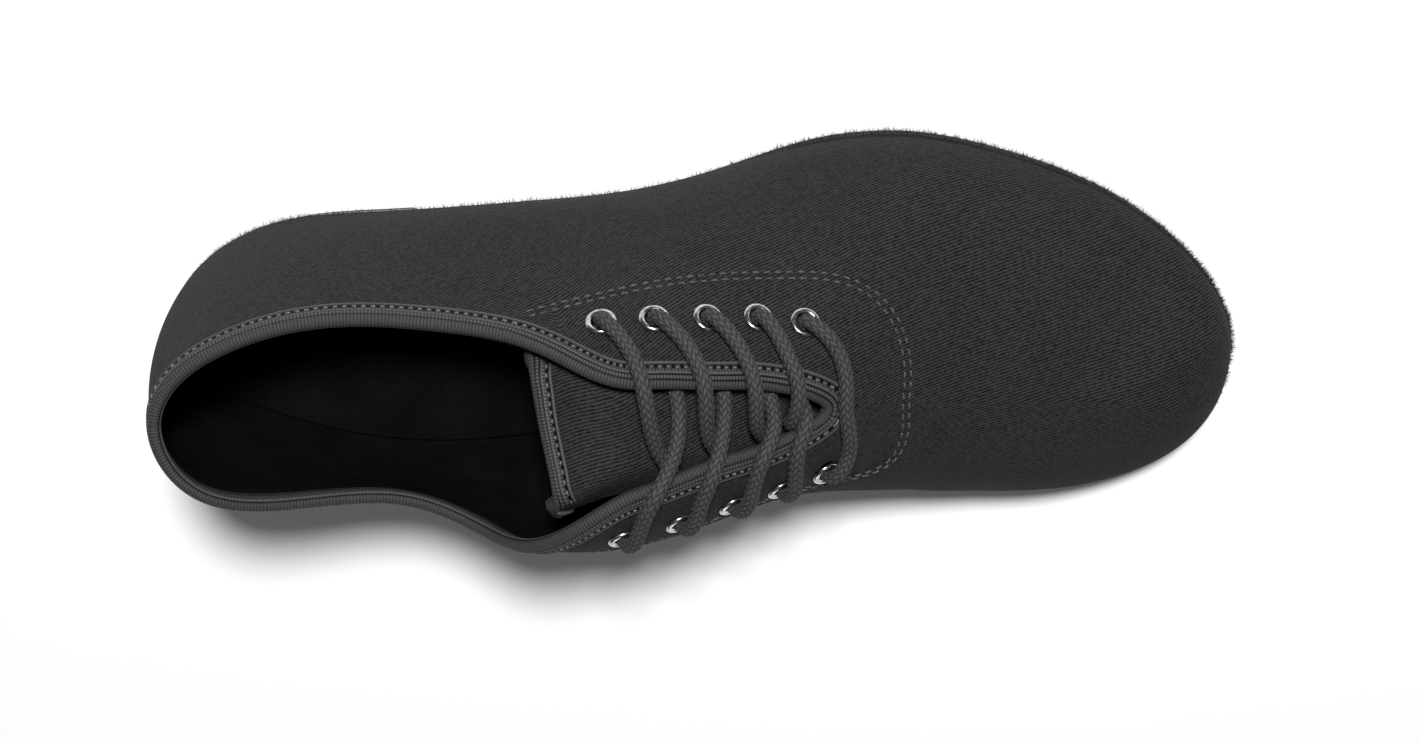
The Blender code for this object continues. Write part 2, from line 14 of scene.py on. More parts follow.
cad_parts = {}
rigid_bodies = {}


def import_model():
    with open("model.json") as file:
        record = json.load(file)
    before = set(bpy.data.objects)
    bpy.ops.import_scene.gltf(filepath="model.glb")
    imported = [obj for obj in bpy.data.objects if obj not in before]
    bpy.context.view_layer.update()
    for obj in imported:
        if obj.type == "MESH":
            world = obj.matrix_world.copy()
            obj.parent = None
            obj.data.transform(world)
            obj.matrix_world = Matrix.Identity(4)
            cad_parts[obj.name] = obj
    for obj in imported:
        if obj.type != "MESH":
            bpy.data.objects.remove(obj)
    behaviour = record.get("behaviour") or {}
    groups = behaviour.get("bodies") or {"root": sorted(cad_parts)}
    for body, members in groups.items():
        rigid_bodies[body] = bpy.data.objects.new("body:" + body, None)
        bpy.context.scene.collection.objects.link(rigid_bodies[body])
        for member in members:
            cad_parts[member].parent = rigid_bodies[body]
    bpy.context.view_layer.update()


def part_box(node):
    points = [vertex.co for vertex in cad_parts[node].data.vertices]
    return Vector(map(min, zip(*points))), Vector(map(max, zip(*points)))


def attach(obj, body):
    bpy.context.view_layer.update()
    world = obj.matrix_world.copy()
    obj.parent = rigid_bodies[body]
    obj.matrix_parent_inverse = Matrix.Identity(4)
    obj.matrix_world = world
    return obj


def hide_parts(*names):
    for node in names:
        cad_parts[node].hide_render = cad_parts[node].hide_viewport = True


for old in list(bpy.data.objects):
    bpy.data.objects.remove(old)
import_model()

# Insole: a thin board under a sock of brushed cloth, cut just inside the outline of the last.
# The whole shoe is made on that last, so its outline and walls are set out here.

MM = 0.001
WELD_METRES = 2e-6
LENGTH = 270.0
SOLE_THICK = 3.5
HEEL_LIFT = 20.0
TOE_SPRING = 6.0
SEAT_END = 0.25
TREAD_START = 0.62
TREAD_END = 0.80
RIDGE_BACK = 40.0
RIDGE_FRONT = 234.0
INSOLE_INSET = 2.2
SOCK_INSET = 1.75
INSOLE_FLOOR = 0.3
INSOLE_THICK = 2.5
SOCK_DARK = (0.0018, 0.0018, 0.002)
SOCK_LIGHT = (0.0050, 0.0050, 0.0054)

# share of the length; outline to each side; top ridge; roundness of each wall (2 is an ellipse);
# how far each wall bulges low down and flares high up
LAST_COLUMNS = ("share", "lateral", "medial", "ridge_y", "ridge_z", "round_lateral", "round_medial",
                "bulge_lateral", "bulge_medial", "flare_lateral", "flare_medial")
LAST_ROWS = np.array([
    (0.00, 0.0, 0.0, 0.0, 122.0, 2.50, 2.50, 1.5, 1.5, 0.0, 0.0),
    (0.03, 17.5, -17.0, 0.0, 122.5, 2.40, 2.60, 1.0, 1.5, -1.0, 0.5),
    (0.10, 28.5, -25.0, 0.0, 121.0, 2.40, 2.50, 1.0, 1.5, -2.5, 0.0),
    (0.20, 32.0, -30.5, -0.5, 117.5, 2.25, 2.40, 2.0, 1.5, -4.0, -6.5),
    (0.32, 35.0, -29.5, -1.0, 107.0, 2.05, 2.25, 3.0, 3.0, -6.0, 7.0),
    (0.45, 37.5, -28.5, -0.5, 91.5, 1.80, 2.35, 3.0, 4.0, 3.0, 12.0),
    (0.57, 45.5, -34.5, 1.0, 77.0, 1.75, 2.50, 2.0, 3.0, -1.0, 1.0),
    (0.67, 49.5, -40.5, 0.5, 63.0, 2.05, 2.30, 1.0, 1.5, 0.0, 0.0),
    (0.77, 45.5, -44.0, -3.0, 52.0, 2.05, 2.15, 0.0, 0.5, 0.0, 0.0),
    (0.87, 36.0, -42.5, -6.5, 44.0, 2.10, 2.25, 0.0, 0.0, 0.0, 0.0),
    (0.95, 21.5, -33.5, -8.5, 38.0, 2.20, 2.25, 0.0, 0.0, 0.0, 0.0),
    (1.00, -4.5, -4.5, -9.0, 35.5, 2.20, 2.20, 0.0, 0.0, 0.0, 0.0),
])
LAST = dict(zip(LAST_COLUMNS, LAST_ROWS.T))

# Highest values of the two curves that shape the bulge and the flare
BULGE_PEAK = 0.105
FLARE_PEAK = 0.148

# Shares of the length: where cross-sections start to lean with the ridge, where they lean fully, and the
# short step that its slope is measured over
LEAN_START = 0.3
LEAN_FULL = 0.5
LEAN_STEP = 0.004


def turn_of(share):
    """Turn along the outline, 0 at the heel and pi at the toe, at a share of the length."""
    return np.arccos(1 - 2 * np.asarray(share, float))


def share_of(turn):
    return (1 - np.cos(turn)) / 2


def spline(knots, values, at):
    """Natural cubic spline through the knots."""
    step = np.diff(knots)
    count = len(knots)
    matrix = np.eye(count)
    right = np.zeros(count)
    for i in range(1, count - 1):
        matrix[i, i - 1:i + 2] = step[i - 1], 2 * (step[i - 1] + step[i]), step[i]
        right[i] = 6 * ((values[i + 1] - values[i]) / step[i] - (values[i] - values[i - 1]) / step[i - 1])
    bend = np.linalg.solve(matrix, right)
    i = np.clip(np.searchsorted(knots, at) - 1, 0, count - 2)
    after = at - knots[i]
    before = knots[i + 1] - at
    cubic = (bend[i] * before**3 + bend[i + 1] * after**3) / (6 * step[i])
    return (cubic + (values[i] / step[i] - bend[i] * step[i] / 6) * before
            + (values[i + 1] / step[i] - bend[i + 1] * step[i] / 6) * after)


def last_column(name, turn):
    return spline(turn_of(LAST["share"]), LAST[name], turn)


def seat_height(x):
    """Height of the sole's top face: level seat, arch, level tread, then toe spring."""
    share = np.asarray(x, float) / LENGTH
    arch = np.clip((share - SEAT_END) / (TREAD_START - SEAT_END), 0, 1)
    spring = np.clip((share - TREAD_END) / (1 - TREAD_END), 0, 1)
    return SOLE_THICK + HEEL_LIFT * (1 + np.cos(np.pi * arch)) / 2 + TOE_SPRING * spring**2


def last_point(turn, climb):
    """Point on the last. Turn is positive on the lateral side and negative on the medial side; climb runs
    from 0 at the feather line to pi/2 at the ridge, and on past it down the other side."""
    turn, climb = np.broadcast_arrays(np.asarray(turn, float), np.asarray(climb, float))
    past_ridge = climb > np.pi / 2
    past_toe = np.abs(turn) > np.pi
    lateral = (turn >= 0) ^ past_ridge ^ past_toe
    climb = np.where(past_ridge, np.pi - climb, climb)
    turn = np.where(past_toe, 2 * np.pi - np.abs(turn), np.abs(turn))

    def of_side(name):
        return np.where(lateral, last_column(name + "_lateral", turn), last_column(name + "_medial", turn))

    share = share_of(turn)
    foot_x = LENGTH * share
    foot_y = np.where(lateral, last_column("lateral", turn), last_column("medial", turn))
    foot_z = seat_height(foot_x)
    ridge_x = RIDGE_BACK + (RIDGE_FRONT - RIDGE_BACK) * share
    ridge_y = last_column("ridge_y", turn)
    ridge_z = last_column("ridge_z", turn)
    ahead = np.clip(share + LEAN_STEP, 0, 1)
    behind = np.clip(share - LEAN_STEP, 0, 1)
    rise = last_column("ridge_z", turn_of(ahead)) - last_column("ridge_z", turn_of(behind))
    lean = np.clip((share - LEAN_START) / (LEAN_FULL - LEAN_START), 0, 1)
    slope = rise / ((RIDGE_FRONT - RIDGE_BACK) * (ahead - behind)) * lean
    power = 2 / of_side("round")
    inward = np.cos(climb)**power
    upward = np.sin(climb)**power
    reach_x = foot_x - ridge_x
    reach_y = foot_y - ridge_y
    bulge = upward * (1 - upward)**3 / BULGE_PEAK * of_side("bulge")
    flare = upward**2 * (1 - upward) / FLARE_PEAK * of_side("flare")
    spread = inward + (bulge + flare) / np.hypot(reach_x, reach_y)
    x = ridge_x + reach_x * spread
    y = ridge_y + reach_y * spread
    z = foot_z + (ridge_z - foot_z) * upward + slope * (x - ridge_x) * upward
    return np.stack([x, y, z], axis=-1)


def unit(vectors):
    return vectors / np.linalg.norm(vectors, axis=-1, keepdims=True)


def outline(turn, margin):
    """Feather outline in plan, moved outward by a margin."""
    before = last_point(turn - 0.02, 0.0)[..., :2]
    after = last_point(turn + 0.02, 0.0)[..., :2]
    tangent = unit(after - before)
    normal = np.stack([-tangent[..., 1], tangent[..., 0]], axis=-1)
    return last_point(turn, 0.0)[..., :2] + normal * np.asarray(margin)[..., None]


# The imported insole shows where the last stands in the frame: its outline has this many steps a side.
PACKED_STEPS = 32
packed_turns = np.linspace(0, np.pi, PACKED_STEPS + 1)
packed_low = np.array(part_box("insole")[0]) / MM
LAST_SHIFT = np.array([
    packed_low[0] - outline(packed_turns, -INSOLE_INSET)[:, 0].min(),
    packed_low[1] - outline(-packed_turns, -INSOLE_INSET)[:, 1].min(),
    0.0,
])


def add_piece(name, points, faces, finishes, slot, replaces=(), cloth_map=None, face_finish=None, traits=()):
    """Smooth mesh from points on the last. A cloth map gives each point its place on the flat cloth in
    millimetres, and traits are (name, value at each point) for the finish to read."""
    mesh = bpy.data.meshes.new(name)
    placed = (np.asarray(points).reshape(-1, 3) + LAST_SHIFT) * MM
    mesh.from_pydata(placed.tolist(), [], np.asarray(faces).tolist())
    for finish in finishes:
        mesh.materials.append(finish)
    if face_finish is not None:
        mesh.polygons.foreach_set("material_index", np.asarray(face_finish, np.int32))
    if cloth_map is not None:
        corners = np.empty(len(mesh.loops), np.int32)
        mesh.loops.foreach_get("vertex_index", corners)
        layer = mesh.uv_layers.new(name="cloth")
        layer.uv.foreach_set("vector", np.asarray(cloth_map, np.float32).reshape(-1, 2)[corners].ravel())
    for trait, values in traits:
        layer = mesh.attributes.new(trait, "FLOAT", "POINT")
        layer.data.foreach_set("value", np.asarray(values, np.float32).ravel())
    welded = bmesh.new()
    welded.from_mesh(mesh)
    bmesh.ops.remove_doubles(welded, verts=welded.verts, dist=WELD_METRES)
    bmesh.ops.recalc_face_normals(welded, faces=welded.faces)
    welded.to_mesh(mesh)
    welded.free()
    mesh.shade_smooth()
    piece = bpy.data.objects.new(name, mesh)
    bpy.context.scene.collection.objects.link(piece)
    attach(piece, "root")
    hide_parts(*replaces)
    return piece


def grid_faces(rows, columns, closed=False):
    """Quads between the points of a grid; closed joins its last column to the first."""
    at = np.arange(rows * columns).reshape(rows, columns)
    here = at if closed else at[:, :-1]
    beside = np.roll(at, -1, axis=1) if closed else at[:, 1:]
    return np.stack([here[:-1], beside[:-1], beside[1:], here[1:]], axis=-1).reshape(-1, 4)


def slab(margin, profile, steps):
    """Points and faces of a sole-shaped sheet. Profile rows are (inset from the margin, height above the
    seat), from the border of the top face over the edge to that of the bottom one."""
    turns = np.linspace(0, np.pi, steps + 1)
    ring_turns = np.concatenate([turns, -turns[-2:0:-1]])
    rings = []
    for inset, height in profile:
        plan = outline(ring_turns, margin(np.abs(ring_turns)) - inset)
        rings.append(np.concatenate([plan, seat_height(plan[:, :1]) + height], axis=-1))
    border = grid_faces(len(profile), ring_turns.size, closed=True)
    lateral = np.arange(steps + 1)
    medial = (-lateral) % ring_turns.size
    across = np.stack([lateral[:-1], lateral[1:], medial[1:], medial[:-1]], axis=-1)
    last_ring = (len(profile) - 1) * ring_turns.size
    return np.stack(rings), np.concatenate([border, across[1:-1], across[1:-1, ::-1] + last_ring])


def rounded_edge(height, depth, radius, steps=5):
    """Profile of a sheet's border: a top and a bottom corner rounded to a radius."""
    bend = np.linspace(0, np.pi / 2, steps)
    top = np.stack([radius * (1 - np.sin(bend)), height - radius * (1 - np.cos(bend))], axis=-1)
    bottom = np.stack([top[::-1, 0], height - depth - (top[::-1, 1] - height)], axis=-1)
    return np.concatenate([top, bottom])


def shader_socket(finish, label):
    return finish.node_tree.nodes["Principled BSDF"].inputs[label]


def new_finish(name, colour, roughness, **others):
    """Material whose even values stand on the shader's own sockets."""
    finish = bpy.data.materials.new(name)
    finish.use_nodes = True
    shader_socket(finish, "Base Color").default_value = (*colour, 1)
    shader_socket(finish, "Roughness").default_value = roughness
    for label, value in others.items():
        shader_socket(finish, label.replace("_", " ")).default_value = value
    return finish


def feed(finish, socket, value):
    if isinstance(value, bpy.types.NodeSocket):
        finish.node_tree.links.new(value, socket)
    else:
        socket.default_value = value


def add_node(finish, kind, sockets, **settings):
    node = finish.node_tree.nodes.new("ShaderNode" + kind)
    for label, value in settings.items():
        setattr(node, label, value)
    for label, value in sockets.items():
        feed(finish, node.inputs[label], value)
    return node


def work_out(finish, operation, *values):
    """Result of one step of arithmetic on node values."""
    node = add_node(finish, "Math", {}, operation=operation)
    for socket, value in zip(node.inputs, values):
        feed(finish, socket, value)
    return node.outputs[0]


def blend(finish, one, one_weight, other, other_weight):
    """Weighted sum of two node values."""
    return work_out(finish, "ADD", work_out(finish, "MULTIPLY", one, one_weight),
                    work_out(finish, "MULTIPLY", other, other_weight))


def grain(finish, size, detail=2.0, stretch=(1.0, 1.0, 1.0)):
    """Cloudy grain with features of a size in millimetres, finer along the stretched axes."""
    place = add_node(finish, "TexCoord", {}).outputs["Object"]
    place = add_node(finish, "Mapping", {"Vector": place, "Scale": stretch}).outputs[0]
    noise = {"Vector": place, "Scale": 1 / (size * MM), "Detail": detail}
    return add_node(finish, "TexNoise", noise).outputs[0]


def tint(finish, amount, dark, light, low=0.0, high=1.0):
    """Base colour that runs from dark to light as the amount goes from low to high."""
    ramp = add_node(finish, "ValToRGB", {"Fac": amount})
    ramp.color_ramp.elements[0].position = low
    ramp.color_ramp.elements[1].position = high
    ramp.color_ramp.elements[0].color = (*dark, 1)
    ramp.color_ramp.elements[1].color = (*light, 1)
    feed(finish, shader_socket(finish, "Base Color"), ramp.outputs[0])


def relief(finish, height, depth, strength=1.0):
    """Bump of a depth in millimetres."""
    bump = add_node(finish, "Bump", {"Height": height, "Distance": depth * MM, "Strength": strength})
    feed(finish, shader_socket(finish, "Normal"), bump.outputs[0])


def vary_roughness(finish, amount, low, high):
    spread = add_node(finish, "MapRange", {"Value": amount, "To Min": low, "To Max": high})
    feed(finish, shader_socket(finish, "Roughness"), spread.outputs[0])


sock = new_finish("sock_cloth", SOCK_LIGHT, 0.9, Specular_IOR_Level=0.04)
sock_nap = blend(sock, grain(sock, 0.5, 3), 0.6, grain(sock, 14.0), 0.4)
tint(sock, sock_nap, SOCK_DARK, SOCK_LIGHT, 0.35, 0.65)
relief(sock, sock_nap, 0.15, 0.7)
vary_roughness(sock, sock_nap, 0.8, 1.0)
insole_profile = rounded_edge(INSOLE_FLOOR + INSOLE_THICK, INSOLE_THICK, 0.9)
add_piece("insole", *slab(lambda turn: -SOCK_INSET, insole_profile, 120), [sock], "sock", replaces=["insole"])

# Upper: one piece of black twill, cut flat with a seam at the back of the heel, stretched over the last,
# turned under at the sole and lined. It is open at the collar and down the throat, and has ten lace holes.

WALL = 1.6
EDGE_WALL = 1.0
SKIVE_START = 0.76
SKIVE_END = 0.86
LASTED_ROLL = 1.3
VAMP_SHARE = 0.64
VAMP_TURN = float(turn_of(VAMP_SHARE))
THROAT_COLUMNS = 200
TOE_COLUMNS = 68
ROLL_ROWS = (0.0, 0.004, 0.009, 0.015, 0.022, 0.030)
WALL_START = 0.042
WALL_ROWS = 49
TOE_RIDGE_START = 0.68
TOE_RIDGE_WIDTH = 12.0
TOE_RIDGE_ROUNDS = 40
LACE_HOLE = 2.9
LACE_HOLE_REACH = 8.0
TWILL_RIB = 0.80
TWILL_ANGLE = np.radians(13.0)
WING_START = 165.0
WING_BEND = 100.0
WING_MIDDLE = 30.0
WING_SPLAY = np.radians(38.0)
# Twill colour from the gaps between ribs, darkened as painted shade, to the rib backs, lightened as painted
# sheen
TWILL_DARK = (0.0010, 0.0010, 0.0011)
TWILL_LIGHT = (0.035, 0.035, 0.037)
LINING_DARK = (0.0016, 0.0016, 0.0018)
LINING_LIGHT = (0.0060, 0.0060, 0.0065)

# Collar and throat edge: how far up each wall it runs, in degrees from feather line (0) to ridge (90)
EDGE_ROWS = np.array([
    # share, lateral, medial
    (0.00, 34.5, 34.5),
    (0.06, 34.0, 34.5),
    (0.14, 32.5, 29.0),
    (0.24, 34.5, 28.0),
    (0.33, 45.0, 45.5),
    (0.39, 61.5, 73.0),
    (0.44, 67.0, 79.0),
    (0.49, 70.5, 83.0),
    (0.54, 73.5, 84.5),
    (VAMP_SHARE, 90.0, 90.0),
])

# Facing: the strip that carries the lace holes is held by two rows of stitches in a U round the throat.
# Climb goes on past the ridge (90) to the medial side.
FACING_ROUTE = np.array([
    # share, climb
    (0.318, 33.8), (0.345, 34.4), (0.38, 36.4), (0.41, 38.4), (0.45, 40.7), (0.49, 42.2), (0.53, 43.3),
    (0.57, 45.2), (0.60, 47.6), (0.638, 53.6), (0.674, 61.8), (0.69, 66.5), (0.705, 71.4), (0.722, 78.8),
    (0.735, 87.5), (0.729, 98.5), (0.706, 111.5), (0.684, 119.0), (0.65, 124.0), (0.62, 126.5),
    (0.58, 128.5), (0.54, 130.0), (0.50, 131.5), (0.46, 133.5), (0.42, 136.5), (0.38, 141.0), (0.345, 146.5),
])
STITCH_PULL = 0.22
STITCH_PULL_WIDTH = 1.3

# Soft creases where the cloth has bent and settled: troughs are negative
CREASES = (
    # share and climb from, share and climb to, width, depth
    (0.66, 38.0, 0.72, 72.0, 7.0, -0.35),
    (0.73, 34.0, 0.78, 80.0, 9.0, -0.40),
    (0.66, 112.0, 0.70, 150.0, 8.0, -0.45),
    (0.74, 104.0, 0.77, 148.0, 9.0, -0.35),
    (0.36, 10.0, 0.42, 30.0, 10.0, -0.45),
    (0.27, 12.0, 0.30, 30.0, 9.0, 0.35),
    (0.40, 148.0, 0.46, 168.0, 10.0, -0.50),
    (0.10, 6.0, 0.12, 24.0, 10.0, -0.30),
)

EYELET_COUNT = 5
EYELET_ROWS = {
    # side: sign of turn, share of the first, step to the next, distance back from the edge
    "lateral": (1, 0.390, 0.050, 17.6),
    "medial": (-1, 0.424, 0.049, 19.6),
}
EYELET_DIMPLE = 0.45
EYELET_DIMPLE_WIDTH = 5.0


def edge_climb(turn):
    """Climb of the collar and throat edge; ahead of the vamp point it is the ridge itself."""
    share = np.minimum(share_of(np.abs(turn)), VAMP_SHARE)
    lateral = spline(EDGE_ROWS[:, 0], EDGE_ROWS[:, 1], share)
    medial = spline(EDGE_ROWS[:, 0], EDGE_ROWS[:, 2], share)
    return np.radians(np.where(turn >= 0, lateral, medial))


def last_slopes(turn, climb):
    small = 0.02
    climb = np.clip(climb, 1.5 * small, np.pi - 1.5 * small)
    at_toe = np.abs(turn) > np.pi - small
    climb = np.where(at_toe, np.minimum(climb, np.pi / 2 - 2 * small), climb)
    along = (last_point(turn + small, climb) - last_point(turn - small, climb)) / (2 * small)
    upward = (last_point(turn, climb + small) - last_point(turn, climb - small)) / (2 * small)
    return along, upward


def outward(turn, climb):
    along, upward = last_slopes(turn, climb)
    return unit(np.cross(upward, along))


def off_last(turn, climb, height):
    """Point a given height above the last's surface."""
    return last_point(turn, climb) + outward(turn, climb) * np.asarray(height, float)[..., None]


def path_lengths(path):
    """Distance along a path of points at each of them."""
    return np.concatenate([[0], np.cumsum(np.linalg.norm(np.diff(path, axis=0), axis=1))])


def ease(value, start, end):
    share = np.clip((np.asarray(value, float) - start) / (end - start), 0, 1)
    return share * share * (3 - 2 * share)


def edge_turns(sign, count):
    """Turns that space points evenly along one side's collar and throat edge, heel to vamp point."""
    fine = sign * np.linspace(0, VAMP_TURN, 900)
    walked = path_lengths(last_point(fine, edge_climb(fine)))
    return np.interp(np.linspace(0, walked[-1], count + 1), walked, fine)


def eyelet_place(side, number):
    """Turn and climb of an eyelet, counted from 1 at the top of the throat."""
    sign, first, step, set_back = EYELET_ROWS[side]
    turn = np.array(sign * turn_of(first + step * (number - 1)))
    down = np.linspace(edge_climb(turn), 0.2, 400)
    walked = path_lengths(last_point(np.full_like(down, turn), down))
    return turn, np.interp(set_back, walked, down)


EYELETS = [(side, number) for side in EYELET_ROWS for number in range(1, EYELET_COUNT + 1)]
EYELET_SPOTS = np.array([last_point(*eyelet_place(*eyelet)) for eyelet in EYELETS])


def route_on_last(rows, count):
    """Turns and climbs at even steps along a smooth route through (share, climb in degrees)."""
    knots = np.arange(len(rows), dtype=float)
    fine = np.linspace(0, knots[-1], 12 * len(rows))
    turn = spline(knots, turn_of(rows[:, 0]), fine)
    climb = spline(knots, np.radians(rows[:, 1]), fine)
    walked = path_lengths(last_point(turn, climb))
    at = np.linspace(0, walked[-1], count)
    return np.interp(at, walked, turn), np.interp(at, walked, climb)


def nearness(points, path, width):
    """1 on a path of points, fading to 0 over a width."""
    near = np.full(points.shape[:-1], np.inf)
    for spot in path:
        near = np.minimum(near, ((points - spot)**2).sum(axis=-1))
    return np.exp(-near / width**2)


def walk(turn, climb, direction, distance, steps=4):
    """Turn and climb after walking over the surface in a direction."""
    for _ in range(steps):
        along, upward = last_slopes(turn, climb)
        base = np.stack([along, upward], axis=-1)
        change = np.einsum("...ij,...j->...i", np.linalg.pinv(base), direction * (distance / steps))
        turn = turn + change[..., 0]
        climb = climb + change[..., 1]
    return turn, climb


def inside_row(turn, climb, distance):
    """A route moved over the surface towards the throat."""
    path = last_point(turn, climb)
    tangent = unit(np.gradient(path, axis=0))
    return walk(turn, climb, unit(np.cross(tangent, outward(turn, climb))), distance)


FACING_ROWS_APART = 1.8
facing_outer = route_on_last(FACING_ROUTE, 420)
facing_inner = inside_row(*facing_outer, FACING_ROWS_APART)


def cloth_lift(points):
    """How far the cloth stands off the last: creases, and the pull of stitches and eyelets."""
    height = np.zeros(points.shape[:-1])
    for share_from, climb_from, share_to, climb_to, width, depth in CREASES:
        part = np.linspace(0, 1, 24)
        path = last_point(turn_of(share_from + (share_to - share_from) * part),
                          np.radians(climb_from + (climb_to - climb_from) * part))
        height += depth * nearness(points, path, width)
    for row in (facing_outer, facing_inner):
        height -= STITCH_PULL * nearness(points, last_point(*row)[::2], STITCH_PULL_WIDTH)
    return height - EYELET_DIMPLE * nearness(points, EYELET_SPOTS, EYELET_DIMPLE_WIDTH)


toe_turns = np.linspace(VAMP_TURN, np.pi, TOE_COLUMNS + 1)[1:]
upper_turns = np.concatenate([edge_turns(1, THROAT_COLUMNS), toe_turns, -toe_turns[-2::-1],
                              edge_turns(-1, THROAT_COLUMNS)[::-1]])
row_shares = np.concatenate([ROLL_ROWS, np.linspace(WALL_START, 1, WALL_ROWS)])
upper_climbs = row_shares[:, None] * edge_climb(upper_turns)
upper_normal = outward(upper_turns[None, :], upper_climbs)
outer = last_point(upper_turns[None, :], upper_climbs)
outer = outer + upper_normal * cloth_lift(outer)[..., None]
throat = np.abs(upper_turns) < VAMP_TURN + 0.01
skive = ease(row_shares, SKIVE_START, SKIVE_END)[:, None] * throat
inner = outer - upper_normal * (WALL + (EDGE_WALL - WALL) * skive)[..., None]
inner[0, :, :2] = outline(upper_turns, -WALL)
inner[0, :, 2] = outer[0, :, 2]

# The lower border rolls under where it is lasted to the sole.
above_feather = np.clip(outer[..., 2] - outer[0, :, 2], 0, LASTED_ROLL) / LASTED_ROLL
roll_in = LASTED_ROLL * (1 - np.sqrt(1 - (1 - above_feather)**2))
plan_in = outline(upper_turns, -1.0) - outline(upper_turns, 0.0)
outer[..., :2] += plan_in * roll_in[..., None]

# Lace holes: quads inside each hole go, and their border is drawn onto a circle.
upper_rows, upper_columns = outer.shape[:2]
quads = grid_faces(upper_rows, upper_columns)
kept = np.ones(len(quads), bool)
outer_flat = outer.reshape(-1, 3)
inner_flat = inner.reshape(-1, 3)
for eyelet, spot in zip(EYELETS, EYELET_SPOTS):
    axis = outward(*eyelet_place(*eyelet))
    away = outer_flat[quads].mean(axis=1) - spot
    depth = away @ axis
    from_axis = np.linalg.norm(away - np.outer(depth, axis), axis=1)
    cut = (from_axis < LACE_HOLE) & (np.abs(depth) < LACE_HOLE_REACH)
    kept &= ~cut
    border = np.intersect1d(quads[cut], quads[~cut])
    for layer in (outer_flat, inner_flat):
        away = layer[border] - spot
        height = np.outer(away @ axis, axis)
        layer[border] = spot + height + unit(away - height) * LACE_HOLE
skin = quads[kept]
edges = np.concatenate([skin[:, [i, (i + 1) % 4]] for i in range(4)])
_, edge_index, edge_uses = np.unique(np.sort(edges, axis=1), axis=0, return_index=True, return_counts=True)
edge_columns = edges % upper_columns
on_ridge = (edges.min(axis=1) >= (upper_rows - 1) * upper_columns) & ~throat[edge_columns].all(axis=1)
on_back_seam = (edge_columns == 0).all(axis=1) | (edge_columns == upper_columns - 1).all(axis=1)
joined_up = on_ridge | on_back_seam
rim = edges[[i for i, uses in zip(edge_index, edge_uses) if uses == 1 and not joined_up[i]]]
lining_start = len(outer_flat)
rim_quads = np.stack([rim[:, 1], rim[:, 0], rim[:, 0] + lining_start, rim[:, 1] + lining_start], axis=-1)


def cloth_place(finish):
    """Place on the flat cloth in millimetres, along and across."""
    flat = add_node(finish, "UVMap", {}, uv_map="cloth").outputs[0]
    return add_node(finish, "SeparateXYZ", {"Vector": flat}).outputs


def rib_height(finish, count):
    """Height of ribs, counted across them: 0 in the gaps and 1 on the backs."""
    half_rib = work_out(finish, "PINGPONG", count, 0.5)
    return work_out(finish, "SINE", work_out(finish, "MULTIPLY", half_rib, np.pi))


def weave_height(finish, rib):
    """Ribs of twill along the cloth map's first axis, none of them quite straight."""
    wander = work_out(finish, "MULTIPLY", grain(finish, 2.6, 2), 0.5)
    count = work_out(finish, "DIVIDE", cloth_place(finish)[1], rib)
    return rib_height(finish, work_out(finish, "ADD", count, wander))


def laid_on_cloth(pattern, side):
    """A flat pattern in millimetres, laid out as it was cut. Behind the facing its wings, to each side of
    the heel seam, are splayed, so that the quarters lie on the bias; the ribs slant to the shoe's length."""
    behind = np.linspace(0, 300, 601)
    bend = WING_SPLAY * ease(behind, 0, WING_BEND)
    from_start = np.maximum(WING_START - pattern[..., 0], 0)
    back = np.interp(from_start, behind, np.cumsum(np.cos(bend)) * behind[1])
    aside = np.interp(from_start, behind, np.cumsum(np.sin(bend)) * behind[1])
    turned_by = np.interp(from_start, behind, bend)
    reach = pattern[..., 1] * side - WING_MIDDLE
    along = np.maximum(pattern[..., 0], WING_START) - back + reach * np.sin(turned_by)
    across = side * (WING_MIDDLE + aside + reach * np.cos(turned_by))
    slant, level = np.sin(TWILL_ANGLE), np.cos(TWILL_ANGLE)
    return np.stack([along * level + across * slant, across * level - along * slant], axis=-1)


def twill_finish(name, rib):
    """Black twill: rib backs painted lighter as painted sheen, gaps painted darker as painted shade, lint
    over both and slow random changes of tone.
    """
    finish = new_finish(name, TWILL_LIGHT, 0.8, Sheen_Weight=0.01, Sheen_Roughness=0.4,
                        Specular_IOR_Level=0.08)
    spread = {"Value": grain(finish, 1.0, 3), "From Min": 0.34, "From Max": 0.66}
    lint = add_node(finish, "MapRange", spread).outputs[0]
    cloudy = grain(finish, 22.0, 3)
    woven = blend(finish, weave_height(finish, rib), 0.74, lint, 0.36)
    # Painted sheen on the rib backs and painted shade in the gaps, mixed with random lint and tone.
    tint(finish, blend(finish, woven, 0.85, cloudy, 0.15), TWILL_DARK, TWILL_LIGHT, 0.22, 0.92)
    relief(finish, woven, 0.18)
    vary_roughness(finish, cloudy, 0.68, 0.9)
    return finish


twill = twill_finish("twill_cloth", TWILL_RIB)
lining = new_finish("lining_cloth", LINING_LIGHT, 0.95, Specular_IOR_Level=0.05)
lining_weave = blend(lining, grain(lining, 0.6, 3), 0.6, grain(lining, 9.0), 0.4)
tint(lining, lining_weave, LINING_DARK, LINING_LIGHT, 0.35, 0.7)
relief(lining, lining_weave, 0.12, 0.6)
vary_roughness(lining, lining_weave, 0.85, 1.0)

PATTERN_STEP = 4
PATTERN_ROWS = 12
PATTERN_ROUNDS = 80


